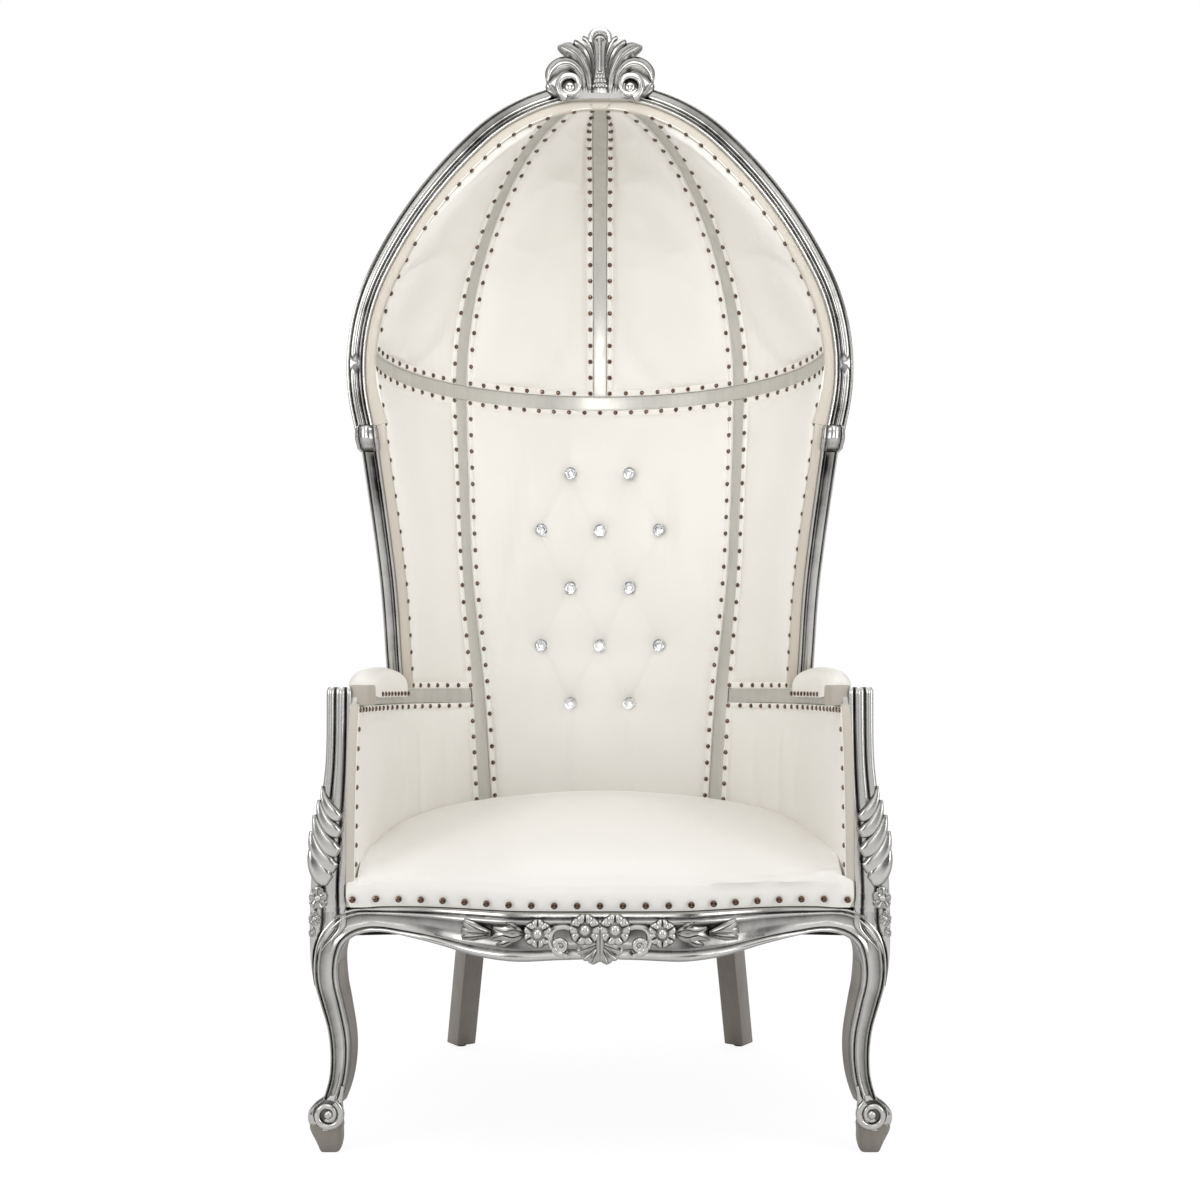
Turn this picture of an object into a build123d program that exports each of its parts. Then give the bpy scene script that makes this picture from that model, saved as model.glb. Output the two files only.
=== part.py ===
"""Throne chair with a domed hood, cabriole front legs and buttoned upholstery.

The chair faces -Y and stands on Z = 0, with X = 0 in the middle. Left and right are the
sitter's own. Depths are measured backwards from the front of the feet.
"""

import os
from bisect import bisect_right
from math import acos, asin, atan2, cos, hypot, pi, radians, sin, tan

from build123d import *

# Overall reach of the chair
HALF_WIDTH = 416
FRONT_REACH = 45
REAR_REACH = 703

# Heights of the stations of the tub
SEAT_TOP = 349
ARM_HEIGHT = 649
WAIST_HEIGHT = 850
KNUCKLE_HEIGHT = 1054
RING_HEIGHT = 1181
ARCH_HEIGHT = 1600

# Plan of the tub: its inside is a rounded U that opens to the front
TUB_START_DEPTH = 12
TUB_BACK_DEPTH = 585
HOOD_START_DEPTH = 232
HOOD_BACK_DEPTH = 640
RIB_SPREAD = 245
DOME_RIB_SPREAD = 60

# Silver frame of the hood
FRAME_FACE = 31
FRAME_DEPTH = 46
FRAME_BEAD = 4
STILE_FACE = 29
STILE_LEAN = 19.2
CROWN_RADIUS = 280
CROWN_TURN = 42
FLANK_RADIUS = 700
FLANK_TURN = 22
SHOULDER_RADIUS = 340
SHOULDER_TURN = 38
COLLAR_HEIGHT = 40
COLLAR_SWELL = 7

# Crest on top of the arch
CREST_RISE = 88
CREST_HALF_WIDTH = 83
CREST_RELIEF = 18
CREST_THICKNESS = 26
KNOB_RADIUS = 15
VOLUTE_RADIUS = 15

# Flat bands and ribs
BAND_WIDTH = 24
RIB_WIDTH = 26
TIMBER_THICKNESS = 8

# Front legs, arm posts and rails
LEG_WIDTH = 52
LEG_DEPTH = 76
LEG_BEAD = 4
SCROLL_RADIUS = 22
SCROLL_HEIGHT = 54
POST_HEIGHT = 664
POST_REACH = 61
ARM_RAIL_WIDTH = 26
APRON_THICKNESS = 34
APRON_DROP = 71
CARVING_RELIEF = 8
SHELL_HALF_WIDTH = 42
ROSETTE_RADIUS = 20
ROSETTE_SPREAD = 87
SPRAY_LENGTH = 48
SPRAY_WIDTH = 18
RAIL_HEIGHT = 32
RAIL_WIDTH = 34
BLOCK_SIDE = 60

# Rear legs
REAR_LEG_SIDE = 38
REAR_LEG_TURN = 34
REAR_SPREAD = 257
REAR_TOP_SPREAD = 220
REAR_TOP_DEPTH = 548
GLIDE_RADIUS = 9
GLIDE_HEIGHT = 4

# Upholstery
PANEL_PROUD = 3
PANEL_BACKING = 8
PANEL_CROWN = 12
ARM_CROWN = 7
PANEL_GAP = 2.4
FRAME_GAP = 2
COVER_GAP = 2.8
COVER_THICKNESS = 5
DECK_THICKNESS = 12
DUST_COVER_THICKNESS = 2
SEAT_CROWN = 148
SEAT_INSET = 13
PAD_START_DEPTH = 100
PAD_REAR_GAP = 12.4
PAD_HEIGHT = 33
PAD_INSIDE = 10
PAD_OUTSIDE = 33

# Buttons
BUTTON_RADIUS = 11
BUTTON_DEPTH = 7
TUFT_RADIUS = 27
TUFT_DEPTH = 8
BUTTON_TOP_HEIGHT = 1050
BUTTON_ROW_PITCH = 104
BUTTON_COLUMN_PITCH = 52.7
BUTTON_ROWS = 5

CLEARANCE = 0.3

# Depth 0, the front of the feet, as a place along Y: the chair's middle is Y = 0
DEPTH_ZERO = (FRONT_REACH - REAR_REACH) / 2
APRON_BOW = FRONT_REACH - CARVING_RELIEF
TUB_HALF_WIDTH = HALF_WIDTH - POST_REACH
CREST_HEIGHT = ARCH_HEIGHT + CREST_RISE
RAIL_TOP = SEAT_TOP - DECK_THICKNESS - CLEARANCE
RAIL_BOTTOM = RAIL_TOP - RAIL_HEIGHT
TUB_FLOOR = SEAT_TOP + CLEARANCE
BAND_BOTTOM = ARM_HEIGHT - BAND_WIDTH / 2
BAND_TOP = ARM_HEIGHT + BAND_WIDTH / 2
RING_BOTTOM = RING_HEIGHT - BAND_WIDTH / 2
RING_TOP = RING_HEIGHT + BAND_WIDTH / 2
COVER_INNER = TIMBER_THICKNESS + COVER_GAP
COVER_OUTER = COVER_INNER + COVER_THICKNESS
FRAME_INNER = PANEL_BACKING + FRAME_GAP
LINING = FRAME_FACE / 2 + FRAME_INNER
DOME_TOP = ARCH_HEIGHT - LINING
RIB_EDGE = RIB_WIDTH / 2
PANEL_EDGE = RIB_WIDTH / 2 + PANEL_GAP
WALL_ROWS = 10
BASE_ALIGN = (Align.CENTER, Align.CENTER, Align.MIN)

# Shape of the tub at its five stations, from the seat up to the ring
STATIONS = (SEAT_TOP, ARM_HEIGHT, WAIST_HEIGHT, KNUCKLE_HEIGHT, RING_BOTTOM)
WIDTH_SHARES = (1.0, 0.975, 0.938, 0.954, 1.0)
START_SHARES = (0.0, 0.0, 0.54, 0.86, 1.0)
BACK_SHARES = (0.0, 0.27, 0.49, 0.78, 1.0)
RIB_SHARES = (0.807, 0.878, 0.943, 0.98, 1.0)
SQUARE_SHARES = (3.0, 2.9, 2.35, 2.12, 2.0)
DOME_POWER_SHARE = 2.6

# Front leg above its scroll: height, then the inner and outer edge inwards from the
# chair's side as shares of the leg's width, then front and back as shares of its depth
LEG_SHARES = (
    (0.17, 0.94, 0.46, 0.1, 0.7),
    (0.25, 1.0, 0.5, 0.14, 0.68),
    (0.33, 1.08, 0.567, 0.18, 0.7),
    (0.41, 1.115, 0.577, 0.2, 0.72),
    (0.5, 1.058, 0.5, 0.19, 0.76),
    (0.6, 0.942, 0.308, 0.14, 0.81),
    (0.69, 0.856, 0.154, 0.09, 0.88),
    (0.78, 0.85, 0.05, 0.06, 0.93),
    (0.9, 0.95, 0.02, 0.06, 0.97),
    (1.0, 0.99, 0.01, 0.08, 0.98),
)
# Foot below the scroll's middle: height as a share of the scroll's, then as above
FOOT_SHARES = (
    (0.0, 0.827, 0.308, 0.14, 0.62),
    (0.45, 0.846, 0.14, 0.05, 0.68),
    (1.0, 0.87, 0.06, 0.02, 0.7),
)
# Arm post: height, outer edge inwards from the chair's side, front and back
POST_SHARES = (
    (0.0, 0.01, 0.08, 0.98),
    (0.12, 0.05, 0.08, 0.95),
    (0.25, 0.077, 0.09, 0.91),
    (0.36, 0.15, 0.1, 0.87),
    (0.5, 0.34, 0.1, 0.83),
    (0.64, 0.445, 0.1, 0.8),
    (0.8, 0.48, 0.1, 0.79),
    (1.0, 0.48, 0.1, 0.79),
)
# Bow of the apron's front and drop of its lower edge, each after its share of the way
# from the middle to the leg
BOW_SHARES = (
    (0.0, 1.0),
    (0.2, 0.99),
    (0.33, 0.9),
    (0.45, 0.5),
    (0.56, 0.06),
    (0.68, -0.3),
    (0.8, -0.42),
    (0.9, -0.35),
    (1.0, -0.2),
)
EDGE_SHARES = (
    (0.0, 0.93),
    (0.12, 0.91),
    (0.21, 1.0),
    (0.34, 0.99),
    (0.475, 0.93),
    (0.6, 0.79),
    (0.72, 0.65),
    (0.83, 0.52),
    (0.92, 0.48),
    (1.0, 0.58),
)
# Crest's leaves on one side: where each is rooted, its length and its width
CREST_LEAF_SHARES = (
    (0.0, -0.16, 1.0, 0.3),
    (0.05, 0.0, 0.86, 0.26),
    (0.1, -0.05, 0.95, 0.34),
    (0.2, -0.02, 0.74, 0.46),
)
CREST_LEAF_TURNS = (0, 16, 43, 70)
# Places of the seat's contours between its edge and its crown, the part of the crown
# that its edge takes, and how far it is set back on top at each side
SEAT_ROW_SHARES = (0.0, 0.012, 0.035, 0.07, 0.12, 0.19, 0.28, 0.4, 0.54, 0.7, 0.88, 1.0)
SEAT_EDGE_SHARE = 0.15
SEAT_SIDE_SHARE = 0.84
SEAT_FRONT_SHARE = 0.6
SEAT_REAR_SHARE = 0.27

os.makedirs("parts", exist_ok=True)


def save(part, label):
    """Labels one finished piece and writes it under its own name."""
    part.label = label
    export_step(part, f"parts/{label}.step")


def save_pair(part, stem):
    """Writes the sitter's left piece and its mirror image."""
    save(part, stem + "_left")
    save(mirror(part, about=Plane.YZ), stem + "_right")


def spread(low, high, count):
    """Evenly spaced values from low to high."""
    return [low + (high - low) * k / (count - 1) for k in range(count)]


def station_value(shares, height):
    """A station table read at any height, on a smooth curve through its values."""
    top = len(shares) - 1
    k = min(max(bisect_right(STATIONS, height) - 1, 0), top - 1)
    step = STATIONS[k + 1] - STATIONS[k]
    along = min(max((height - STATIONS[k]) / step, 0), 1)
    slopes = []
    for i in (k, k + 1):
        low, high = max(i - 1, 0), min(i + 1, top)
        run = STATIONS[high] - STATIONS[low]
        slopes.append((shares[high] - shares[low]) / run * step)
    change = shares[k + 1] - shares[k]
    ease = along**2 * (3 - 2 * along)
    rise_in = along * (1 - along) ** 2
    rise_out = along**2 * (1 - along)
    return shares[k] + change * ease + slopes[0] * rise_in - slopes[1] * rise_out


# Middle line of the arch: three tangent arcs and a straight tail, from the crown down
ARCH_ARCS = []
arc_x = 0
arc_z = ARCH_HEIGHT
arc_turn = 0
for radius, turn in (
    (CROWN_RADIUS, CROWN_TURN),
    (FLANK_RADIUS, FLANK_TURN),
    (SHOULDER_RADIUS, SHOULDER_TURN),
):
    centre_x = arc_x - radius * sin(radians(arc_turn))
    centre_z = arc_z - radius * cos(radians(arc_turn))
    arc_turn += turn
    ARCH_ARCS.append((centre_x, centre_z, radius, arc_turn))
    arc_x = centre_x + radius * sin(radians(arc_turn))
    arc_z = centre_z + radius * cos(radians(arc_turn))
TAIL_X, TAIL_HEIGHT = arc_x, arc_z
TAIL_LEAN = radians(arc_turn) - pi / 2


def arch_half_width(height, inset):
    """Half width of the arch's middle line at a height, moved inwards by inset."""
    for centre_x, centre_z, radius, end_turn in ARCH_ARCS:
        reach = radius - inset
        if height >= centre_z + reach * cos(radians(end_turn)):
            lift = min(height - centre_z, reach)
            return centre_x + (reach**2 - lift**2) ** 0.5
    return TAIL_X - inset / cos(TAIL_LEAN) - (TAIL_HEIGHT - height) * tan(TAIL_LEAN)


RING_HALF_WIDTH = arch_half_width(RING_TOP, LINING)


def plan(height):
    """Half width, start depth, reach and squareness of the inside at a height."""
    blend = min(max((height - ARM_HEIGHT) / (KNUCKLE_HEIGHT - ARM_HEIGHT), 0), 1)
    base = TUB_HALF_WIDTH + (RING_HALF_WIDTH - TUB_HALF_WIDTH) * blend
    lead = HOOD_START_DEPTH - TUB_START_DEPTH
    lean = HOOD_BACK_DEPTH - TUB_BACK_DEPTH
    start = TUB_START_DEPTH + lead * station_value(START_SHARES, height)
    back = TUB_BACK_DEPTH + lean * station_value(BACK_SHARES, height)
    across = base * station_value(WIDTH_SHARES, height)
    return across, start, back - start, station_value(SQUARE_SHARES, height)


def wall_place(height, turn, offset=0):
    """Point (x, y) of the wall at a plan angle from the rear middle, moved outwards."""
    across, start, reach, square = plan(height)

    def inside(angle):
        side = abs(sin(angle)) ** (2 / square) * (1 if angle >= 0 else -1)
        return across * side, start + reach * max(cos(angle), 0) ** (2 / square)

    x, depth = inside(turn)
    step = radians(0.5)
    before = inside(max(turn - step, -pi / 2))
    after = inside(min(turn + step, pi / 2))
    run, fall = after[0] - before[0], after[1] - before[1]
    size = hypot(run, fall)
    return x - fall / size * offset, DEPTH_ZERO + depth + run / size * offset


def turn_at_x(height, x):
    """Plan angle at which the inside stands at x from the middle."""
    across, _, _, square = plan(height)
    return asin(min(x / across, 1) ** (square / 2))


def turn_at_depth(height, depth):
    """Plan angle at which the left side of the inside stands at a depth."""
    _, start, reach, square = plan(height)
    return acos(min(max((depth - start) / reach, 0), 1) ** (square / 2))


def rib_turn(height, distance=0):
    """Plan angle of the side rib's middle, or of a line a distance beside it."""
    middle = turn_at_x(height, RIB_SPREAD * station_value(RIB_SHARES, height))
    step = radians(0.5)
    before, after = wall_place(height, middle - step), wall_place(height, middle + step)
    size = hypot(after[0] - before[0], after[1] - before[1])
    return middle + distance / size * 2 * step


def past_rib(height):
    """Plan angle where the panels outside the side rib begin."""
    return rib_turn(height, PANEL_EDGE)


def before_rib(height):
    """Plan angle where the centre panel ends at the side rib."""
    return rib_turn(height, -PANEL_EDGE)


def behind_rib(height):
    """Plan angle where the side's covers and rails begin, behind the side rib's middle."""
    return rib_turn(height, COVER_GAP / 2)


def back_end(height):
    """Plan angle where the back's cover and rail end, behind the side rib's middle."""
    return rib_turn(height, -COVER_GAP / 2)


def at_front(height):
    """Plan angle of the tub's open front."""
    return pi / 2


def frame_front(height):
    """Depth of the front of the hood's frame, which leans back below the collar."""
    drop = max(KNUCKLE_HEIGHT - height, 0)
    return HOOD_START_DEPTH + drop * tan(radians(STILE_LEAN))


def frame_back(height):
    """Depth of the back of the hood's frame."""
    return frame_front(height) + FRAME_DEPTH


def at_frame(height):
    """Plan angle where the hood's side panels end, flush with the frame's front."""
    return turn_at_depth(height, frame_front(height))


def behind_frame(height):
    """Plan angle where the side covers end, behind the frame."""
    return turn_at_depth(height, frame_back(height) + COVER_THICKNESS)


def behind_post(height):
    """Plan angle where the arm's covers and rails end, behind the arm post."""
    return turn_at_depth(height, LEG_DEPTH + LEG_BEAD)


def face_between(near, far):
    """Closed face between two smooth curves that run the same way."""
    with BuildLine() as outline:
        Spline(*near)
        Line(near[-1], far[-1])
        Spline(*far)
        Line(far[0], near[0])
    make_face(outline.edges())


def pillow(rise):
    """Crown of a padded panel: full in the middle, drawn in at every edge."""

    def swell(up, across):
        return rise * (1 - (2 * up - 1) ** 4) * (1 - (2 * across - 1) ** 4)

    return swell


def flat(up, across):
    """No crown at all."""
    return 0


def even_turns(height, start, end, count):
    """Plan angles from start to end that are equally spaced along the wall."""
    fine = spread(start, end, 61)
    places = [wall_place(height, turn) for turn in fine]
    lengths = [0]
    for (ax, ay), (bx, by) in zip(places, places[1:]):
        lengths.append(lengths[-1] + hypot(bx - ax, by - ay))
    turns = []
    for length in spread(0, lengths[-1], count):
        k = min(max(bisect_right(lengths, length) - 1, 0), len(fine) - 2)
        share = (length - lengths[k]) / (lengths[k + 1] - lengths[k])
        turns.append(fine[k] + (fine[k + 1] - fine[k]) * share)
    return turns


def rows_between(low, high):
    """Section heights from low to high, at places that all the wall's pieces share."""
    step = (RING_TOP - RAIL_TOP) / WALL_ROWS
    shared = [RAIL_TOP + step * k for k in range(1, WALL_ROWS)]
    inside = [row for row in shared if low + step / 4 < row < high - step / 4]
    return [low] + inside + [high]


def wall_piece(low, high, start, end, inner, outer, swell=flat, columns=7):
    """Solid up the wall from one height to another, between two plan angles.

    start and end give the plan angle at a height, inner and outer are offsets from the
    inside face, and swell is how far the inner one rises into the chair.
    """
    with BuildPart() as piece:
        for height in rows_between(low, high):
            up = (height - low) / (high - low)
            near = []
            far = []
            turns = even_turns(height, start(height), end(height), columns)
            for column, turn in enumerate(turns):
                rise = swell(up, column / (columns - 1))
                near.append(wall_place(height, turn, inner - rise))
                far.append(wall_place(height, turn, outer))
            with BuildSketch(Plane.XY.offset(height)):
                face_between(near, far)
        loft()
    return piece.part


# The dome's ribs stand in upright planes that meet on one axis in front of the arch
RING_RIB_DEPTH = wall_place(RING_HEIGHT, rib_turn(RING_HEIGHT))[1] - DEPTH_ZERO
AXIS_SLOPE = (RING_RIB_DEPTH - HOOD_START_DEPTH) / (RIB_SPREAD - DOME_RIB_SPREAD)
AXIS_DEPTH = HOOD_START_DEPTH - AXIS_SLOPE * DOME_RIB_SPREAD
RIB_DIRECTION = atan2(1, AXIS_SLOPE)
LAST_DIRECTION = atan2(RING_HALF_WIDTH, HOOD_START_DEPTH - AXIS_DEPTH)


def dome_run(start_x, direction, height):
    """Distance from the axis to the inside of the dome, in an upright plane."""
    side, back = sin(direction), cos(direction)
    up = min(max((height - RING_HEIGHT) / (DOME_TOP - RING_HEIGHT), 0), 1)
    wide = max(arch_half_width(height, LINING), CLEARANCE)
    reach = HOOD_BACK_DEPTH - HOOD_START_DEPTH
    deep = max(reach * (1 - up**DOME_POWER_SHARE) ** (1 / DOME_POWER_SHARE), CLEARANCE)
    lead = AXIS_DEPTH - HOOD_START_DEPTH
    a = (side / wide) ** 2 + (back / deep) ** 2
    b = 2 * (start_x * side / wide**2 + lead * back / deep**2)
    c = (start_x / wide) ** 2 + (lead / deep) ** 2 - 1
    return (max(b * b - 4 * a * c, 0) ** 0.5 - b) / (2 * a)


def dome_curve(start_x, direction, end_depth, points=10):
    """Inside of the dome in an upright plane, from the ring up to a depth.

    Gives the run, height and slope of each point.
    """
    end_run = (end_depth - AXIS_DEPTH) / cos(direction)
    base = RING_TOP + CLEARANCE
    low, high = base, DOME_TOP
    for _ in range(40):
        middle = (low + high) / 2
        if dome_run(start_x, direction, middle) > end_run:
            low = middle
        else:
            high = middle
    places = []
    for share in spread(0, 1, points):
        height = base + (low - base) * sin(share * pi / 2) ** 0.9
        below, above = height - CLEARANCE, min(height + CLEARANCE, low)
        run = dome_run(start_x, direction, above) - dome_run(start_x, direction, below)
        slope = atan2(above - below, run)
        places.append((dome_run(start_x, direction, height), height, slope))
    return places


def lifted(places, offsets):
    """A curve moved outwards, each of its points by its own offset."""
    moved = []
    for (run, height, slope), offset in zip(places, offsets):
        level = 0 if height == places[0][1] else offset
        moved.append((run + sin(slope) * offset, height - cos(slope) * level))
    return moved


def dome_plane(start_x, direction):
    """Upright plane from the ribs' axis, moved sideways by start_x."""
    side, back = sin(direction), cos(direction)
    origin = (start_x, DEPTH_ZERO + AXIS_DEPTH, 0)
    return Plane(origin=origin, x_dir=(side, back, 0), z_dir=(back, -side, 0))


def dome_piece(cuts, end_depth, inner, outer, swell=flat):
    """Solid lofted round the dome through upright cuts, each (shift, direction)."""
    with BuildPart() as piece:
        for k, (start_x, direction) in enumerate(cuts):
            base = dome_curve(start_x, direction, end_depth)
            across = k / (len(cuts) - 1)
            last = len(base) - 1
            near = lifted(base, [inner - swell(i / last, across) for i in range(last + 1)])
            far = lifted(base, [outer] * len(base))
            with BuildSketch(dome_plane(start_x, direction)):
                face_between(near, far)
        loft()
    return piece.part


def dome_rib(direction, width):
    """Rib of the dome that follows its surface, as wide as the one below it."""
    shift = width / 2 / cos(direction)
    cuts = [(share * shift, direction) for share in (-1, 0, 1)]
    return dome_piece(cuts, HOOD_START_DEPTH, 0, TIMBER_THICKNESS)


def moulded_face(front_inner, front_outer, back_outer, back_inner, relief, inside=None):
    """Section whose front edge is a bead, a cove and a bead."""
    (ax, ay), (bx, by) = front_inner, front_outer
    run, fall = bx - ax, by - ay
    size = hypot(run, fall)
    out_x, out_y = fall / size * relief, -run / size * relief

    def across(share, rise):
        return ax + run * share + out_x * rise, ay + fall * share + out_y * rise

    with BuildLine() as outline:
        ThreePointArc(across(0, 0), across(0.16, 1), across(0.34, 0.2))
        ThreePointArc(across(0.34, 0.2), across(0.5, -0.6), across(0.66, 0.2))
        ThreePointArc(across(0.66, 0.2), across(0.84, 1), across(1, 0))
        Line(front_outer, back_outer)
        Line(back_outer, back_inner)
        if inside:
            ThreePointArc(back_inner, inside, front_inner)
        else:
            Line(back_inner, front_inner)
    make_face(outline.edges())


# Flat ring between the tub and the dome
with BuildPart() as ring_band:
    with BuildSketch(Plane.XY.offset(RING_BOTTOM)):
        turns = even_turns(RING_HEIGHT, -pi / 2, pi / 2, 21)
        face_between(
            [wall_place(RING_HEIGHT, turn) for turn in turns],
            [wall_place(RING_HEIGHT, turn, TIMBER_THICKNESS) for turn in turns],
        )
    extrude(amount=BAND_WIDTH)
save(ring_band.part, "ring_band")

# Ribs of the dome and of the tub
save(dome_rib(0, BAND_WIDTH), "dome_rib_centre")
save_pair(dome_rib(RIB_DIRECTION, RIB_WIDTH), "dome_rib")
side_rib = wall_piece(
    TUB_FLOOR,
    RING_BOTTOM - CLEARANCE,
    lambda height: rib_turn(height, -RIB_EDGE),
    lambda height: rib_turn(height, RIB_EDGE),
    0,
    TIMBER_THICKNESS,
    columns=3,
)
save_pair(side_rib, "side_rib")
arm_band = wall_piece(
    BAND_BOTTOM, BAND_TOP, past_rib, at_front, 0, TIMBER_THICKNESS, columns=9
)
save_pair(arm_band, "arm_band")

# Padded panels of the tub
arm_panel = wall_piece(
    TUB_FLOOR,
    BAND_BOTTOM - CLEARANCE,
    past_rib,
    at_front,
    -PANEL_PROUD,
    PANEL_BACKING,
    pillow(ARM_CROWN),
    columns=9,
)
save_pair(arm_panel, "arm_panel")
side_panel = wall_piece(
    BAND_TOP + CLEARANCE,
    RING_BOTTOM - CLEARANCE,
    past_rib,
    at_frame,
    -PANEL_PROUD,
    PANEL_BACKING,
    pillow(PANEL_CROWN),
)
save_pair(side_panel, "side_panel")

back_low, back_high = TUB_FLOOR, RING_BOTTOM - CLEARANCE


def back_face(x, height):
    """Point on the front of the centre back panel's padding."""
    turn = turn_at_x(height, abs(x))
    across = (turn / before_rib(height) + 1) / 2
    up = (height - back_low) / (back_high - back_low)
    rise = pillow(PANEL_CROWN)(up, across)
    return Vector(x, wall_place(height, turn, -PANEL_PROUD - rise)[1], height)


def back_plane(x, height, depth):
    """Plane sunk a depth into the back's padding, facing the sitter."""
    step = BUTTON_RADIUS
    across = back_face(x + step, height) - back_face(x - step, height)
    up = back_face(x, height + step) - back_face(x, height - step)
    facing = across.cross(up).normalized()
    return Plane(origin=back_face(x, height) - facing * depth, x_dir=across, z_dir=facing)


button_places = []
for row in range(BUTTON_ROWS):
    height = BUTTON_TOP_HEIGHT - row * BUTTON_ROW_PITCH
    for column in (-1, 1) if row % 2 == 0 else (-2, 0, 2):
        button_places.append((column * BUTTON_COLUMN_PITCH, height))

tuft_ball = (TUFT_RADIUS**2 + TUFT_DEPTH**2) / (2 * TUFT_DEPTH)
with BuildPart() as centre_back_panel:
    add(
        wall_piece(
            back_low,
            back_high,
            lambda height: -before_rib(height),
            before_rib,
            -PANEL_PROUD,
            PANEL_BACKING,
            pillow(PANEL_CROWN),
            columns=13,
        )
    )
    with Locations([back_plane(x, z, TUFT_DEPTH - tuft_ball) for x, z in button_places]):
        Sphere(tuft_ball, mode=Mode.SUBTRACT)
save(centre_back_panel.part, "centre_back_panel")

# Cut-glass buttons, each seated at the bottom of its tuft
button_sink = TUFT_DEPTH - BUTTON_RADIUS**2 / (2 * tuft_ball) - CLEARANCE
with BuildPart() as crystal_buttons:
    for x, height in button_places:
        seat = back_plane(x, height, button_sink)
        with BuildSketch(seat):
            RegularPolygon(BUTTON_RADIUS, 8)
        extrude(amount=BUTTON_DEPTH / 2)
        with BuildSketch(seat.offset(BUTTON_DEPTH / 2)):
            RegularPolygon(BUTTON_RADIUS, 8)
        with BuildSketch(seat.offset(BUTTON_DEPTH)):
            RegularPolygon(BUTTON_RADIUS / 2, 8)
        loft(ruled=True)
save(crystal_buttons.part, "crystal_buttons")

# Padded panels of the dome: two between its ribs, two between the ribs and the arch
half_band = BAND_WIDTH / 2 + PANEL_GAP
rib_shift = PANEL_EDGE / cos(RIB_DIRECTION)
inner_cuts = []
for share in spread(0, 1, 5):
    shift = half_band * (1 - share) - rib_shift * share
    inner_cuts.append((shift, RIB_DIRECTION * share))
dome_panel_inner = dome_piece(
    inner_cuts, HOOD_START_DEPTH, -PANEL_PROUD, PANEL_BACKING, pillow(PANEL_CROWN)
)
save_pair(dome_panel_inner, "dome_panel_inner")
outer_cuts = []
for share in spread(0, 0.93, 6):
    direction = RIB_DIRECTION + (LAST_DIRECTION - RIB_DIRECTION) * share
    outer_cuts.append((rib_shift * (1 - share), direction))
dome_panel_outer = dome_piece(
    outer_cuts, HOOD_START_DEPTH, -PANEL_PROUD, PANEL_BACKING, pillow(PANEL_CROWN)
)
save_pair(dome_panel_outer, "dome_panel_outer")

# Plain outer covers
cover_front = HOOD_START_DEPTH + FRAME_DEPTH + CLEARANCE
cover_cuts = [(0, RIB_DIRECTION * share) for share in spread(0, 1, 4)]
for share in spread(0.12, 0.8, 6):
    cover_cuts.append((0, RIB_DIRECTION + (LAST_DIRECTION - RIB_DIRECTION) * share))
dome_cover = dome_piece(cover_cuts, cover_front, COVER_INNER, COVER_OUTER)
save_pair(dome_cover, "dome_cover")
back_cover = wall_piece(
    RAIL_TOP + CLEARANCE,
    RING_TOP,
    lambda height: -back_end(height),
    back_end,
    COVER_INNER,
    COVER_OUTER,
    columns=13,
)
save(back_cover, "back_cover")
side_cover = wall_piece(
    BAND_TOP + CLEARANCE, RING_TOP, behind_rib, behind_frame, COVER_INNER, COVER_OUTER
)
save_pair(side_cover, "side_cover")
arm_cover = wall_piece(
    RAIL_TOP + CLEARANCE,
    BAND_BOTTOM - CLEARANCE,
    behind_rib,
    behind_post,
    COVER_INNER,
    COVER_OUTER,
    columns=9,
)
save_pair(arm_cover, "arm_cover")

# Arm rails and the pads on them, which end short of the hood's stiles
PAD_END_DEPTH = frame_front(BAND_TOP + PAD_HEIGHT) - PAD_REAR_GAP
arm_rail = wall_piece(
    BAND_BOTTOM,
    BAND_TOP,
    behind_rib,
    behind_post,
    COVER_INNER,
    COVER_INNER + ARM_RAIL_WIDTH,
    columns=9,
)
save_pair(arm_rail, "arm_rail")

with BuildPart() as arm_pad:
    for up in spread(0, 1, 5):
        height = BAND_TOP + CLEARANCE + PAD_HEIGHT * up
        draw = PAD_HEIGHT * 0.4 * up**3
        start = turn_at_depth(height, PAD_END_DEPTH - draw)
        end = turn_at_depth(height, PAD_START_DEPTH + draw)
        near = []
        far = []
        for k, turn in enumerate(spread(start, end, 7)):
            side = draw + PAD_INSIDE * 0.3 * (k / 3 - 1) ** 4
            near.append(wall_place(height, turn, side - PAD_INSIDE))
            far.append(wall_place(height, turn, PAD_OUTSIDE - side))
        with BuildSketch(Plane.XY.offset(height)):
            face_between(near, far)
    loft()
save_pair(arm_pad.part, "arm_pad")


def leaf(plane, turn, length, width, relief):
    """Carved leaf with a pointed tip, its stalk at the plane's origin, from below it."""
    with BuildPart() as blade:
        for share, level in ((1, -relief), (1, 0), (0.45, relief)):
            root, tip = length * (1 - share) / 2, length * (1 + share) / 2
            side = (length * 0.55, width / 2 * share)
            with BuildSketch(Plane(plane.location * Location((0, 0, level), (0, 0, turn)))):
                with BuildLine():
                    ThreePointArc((root, 0), side, (tip, 0))
                    ThreePointArc((tip, 0), (side[0], -side[1]), (root, 0))
                make_face()
        loft(ruled=True)
    return blade.part


def rosette(plane, radius, petals, relief):
    """Open flower of round petals about a ball."""
    with BuildPart() as flower:
        with Locations(plane.offset(-relief)):
            with PolarLocations(radius * 0.56, petals):
                Cone(radius * 0.46, radius * 0.3, relief * 1.8, align=BASE_ALIGN)
            Cylinder(radius * 0.5, relief * 1.3, align=BASE_ALIGN)
        with Locations(plane.offset(relief - radius * 0.28)):
            Sphere(radius * 0.28)
    return flower.part


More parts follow.
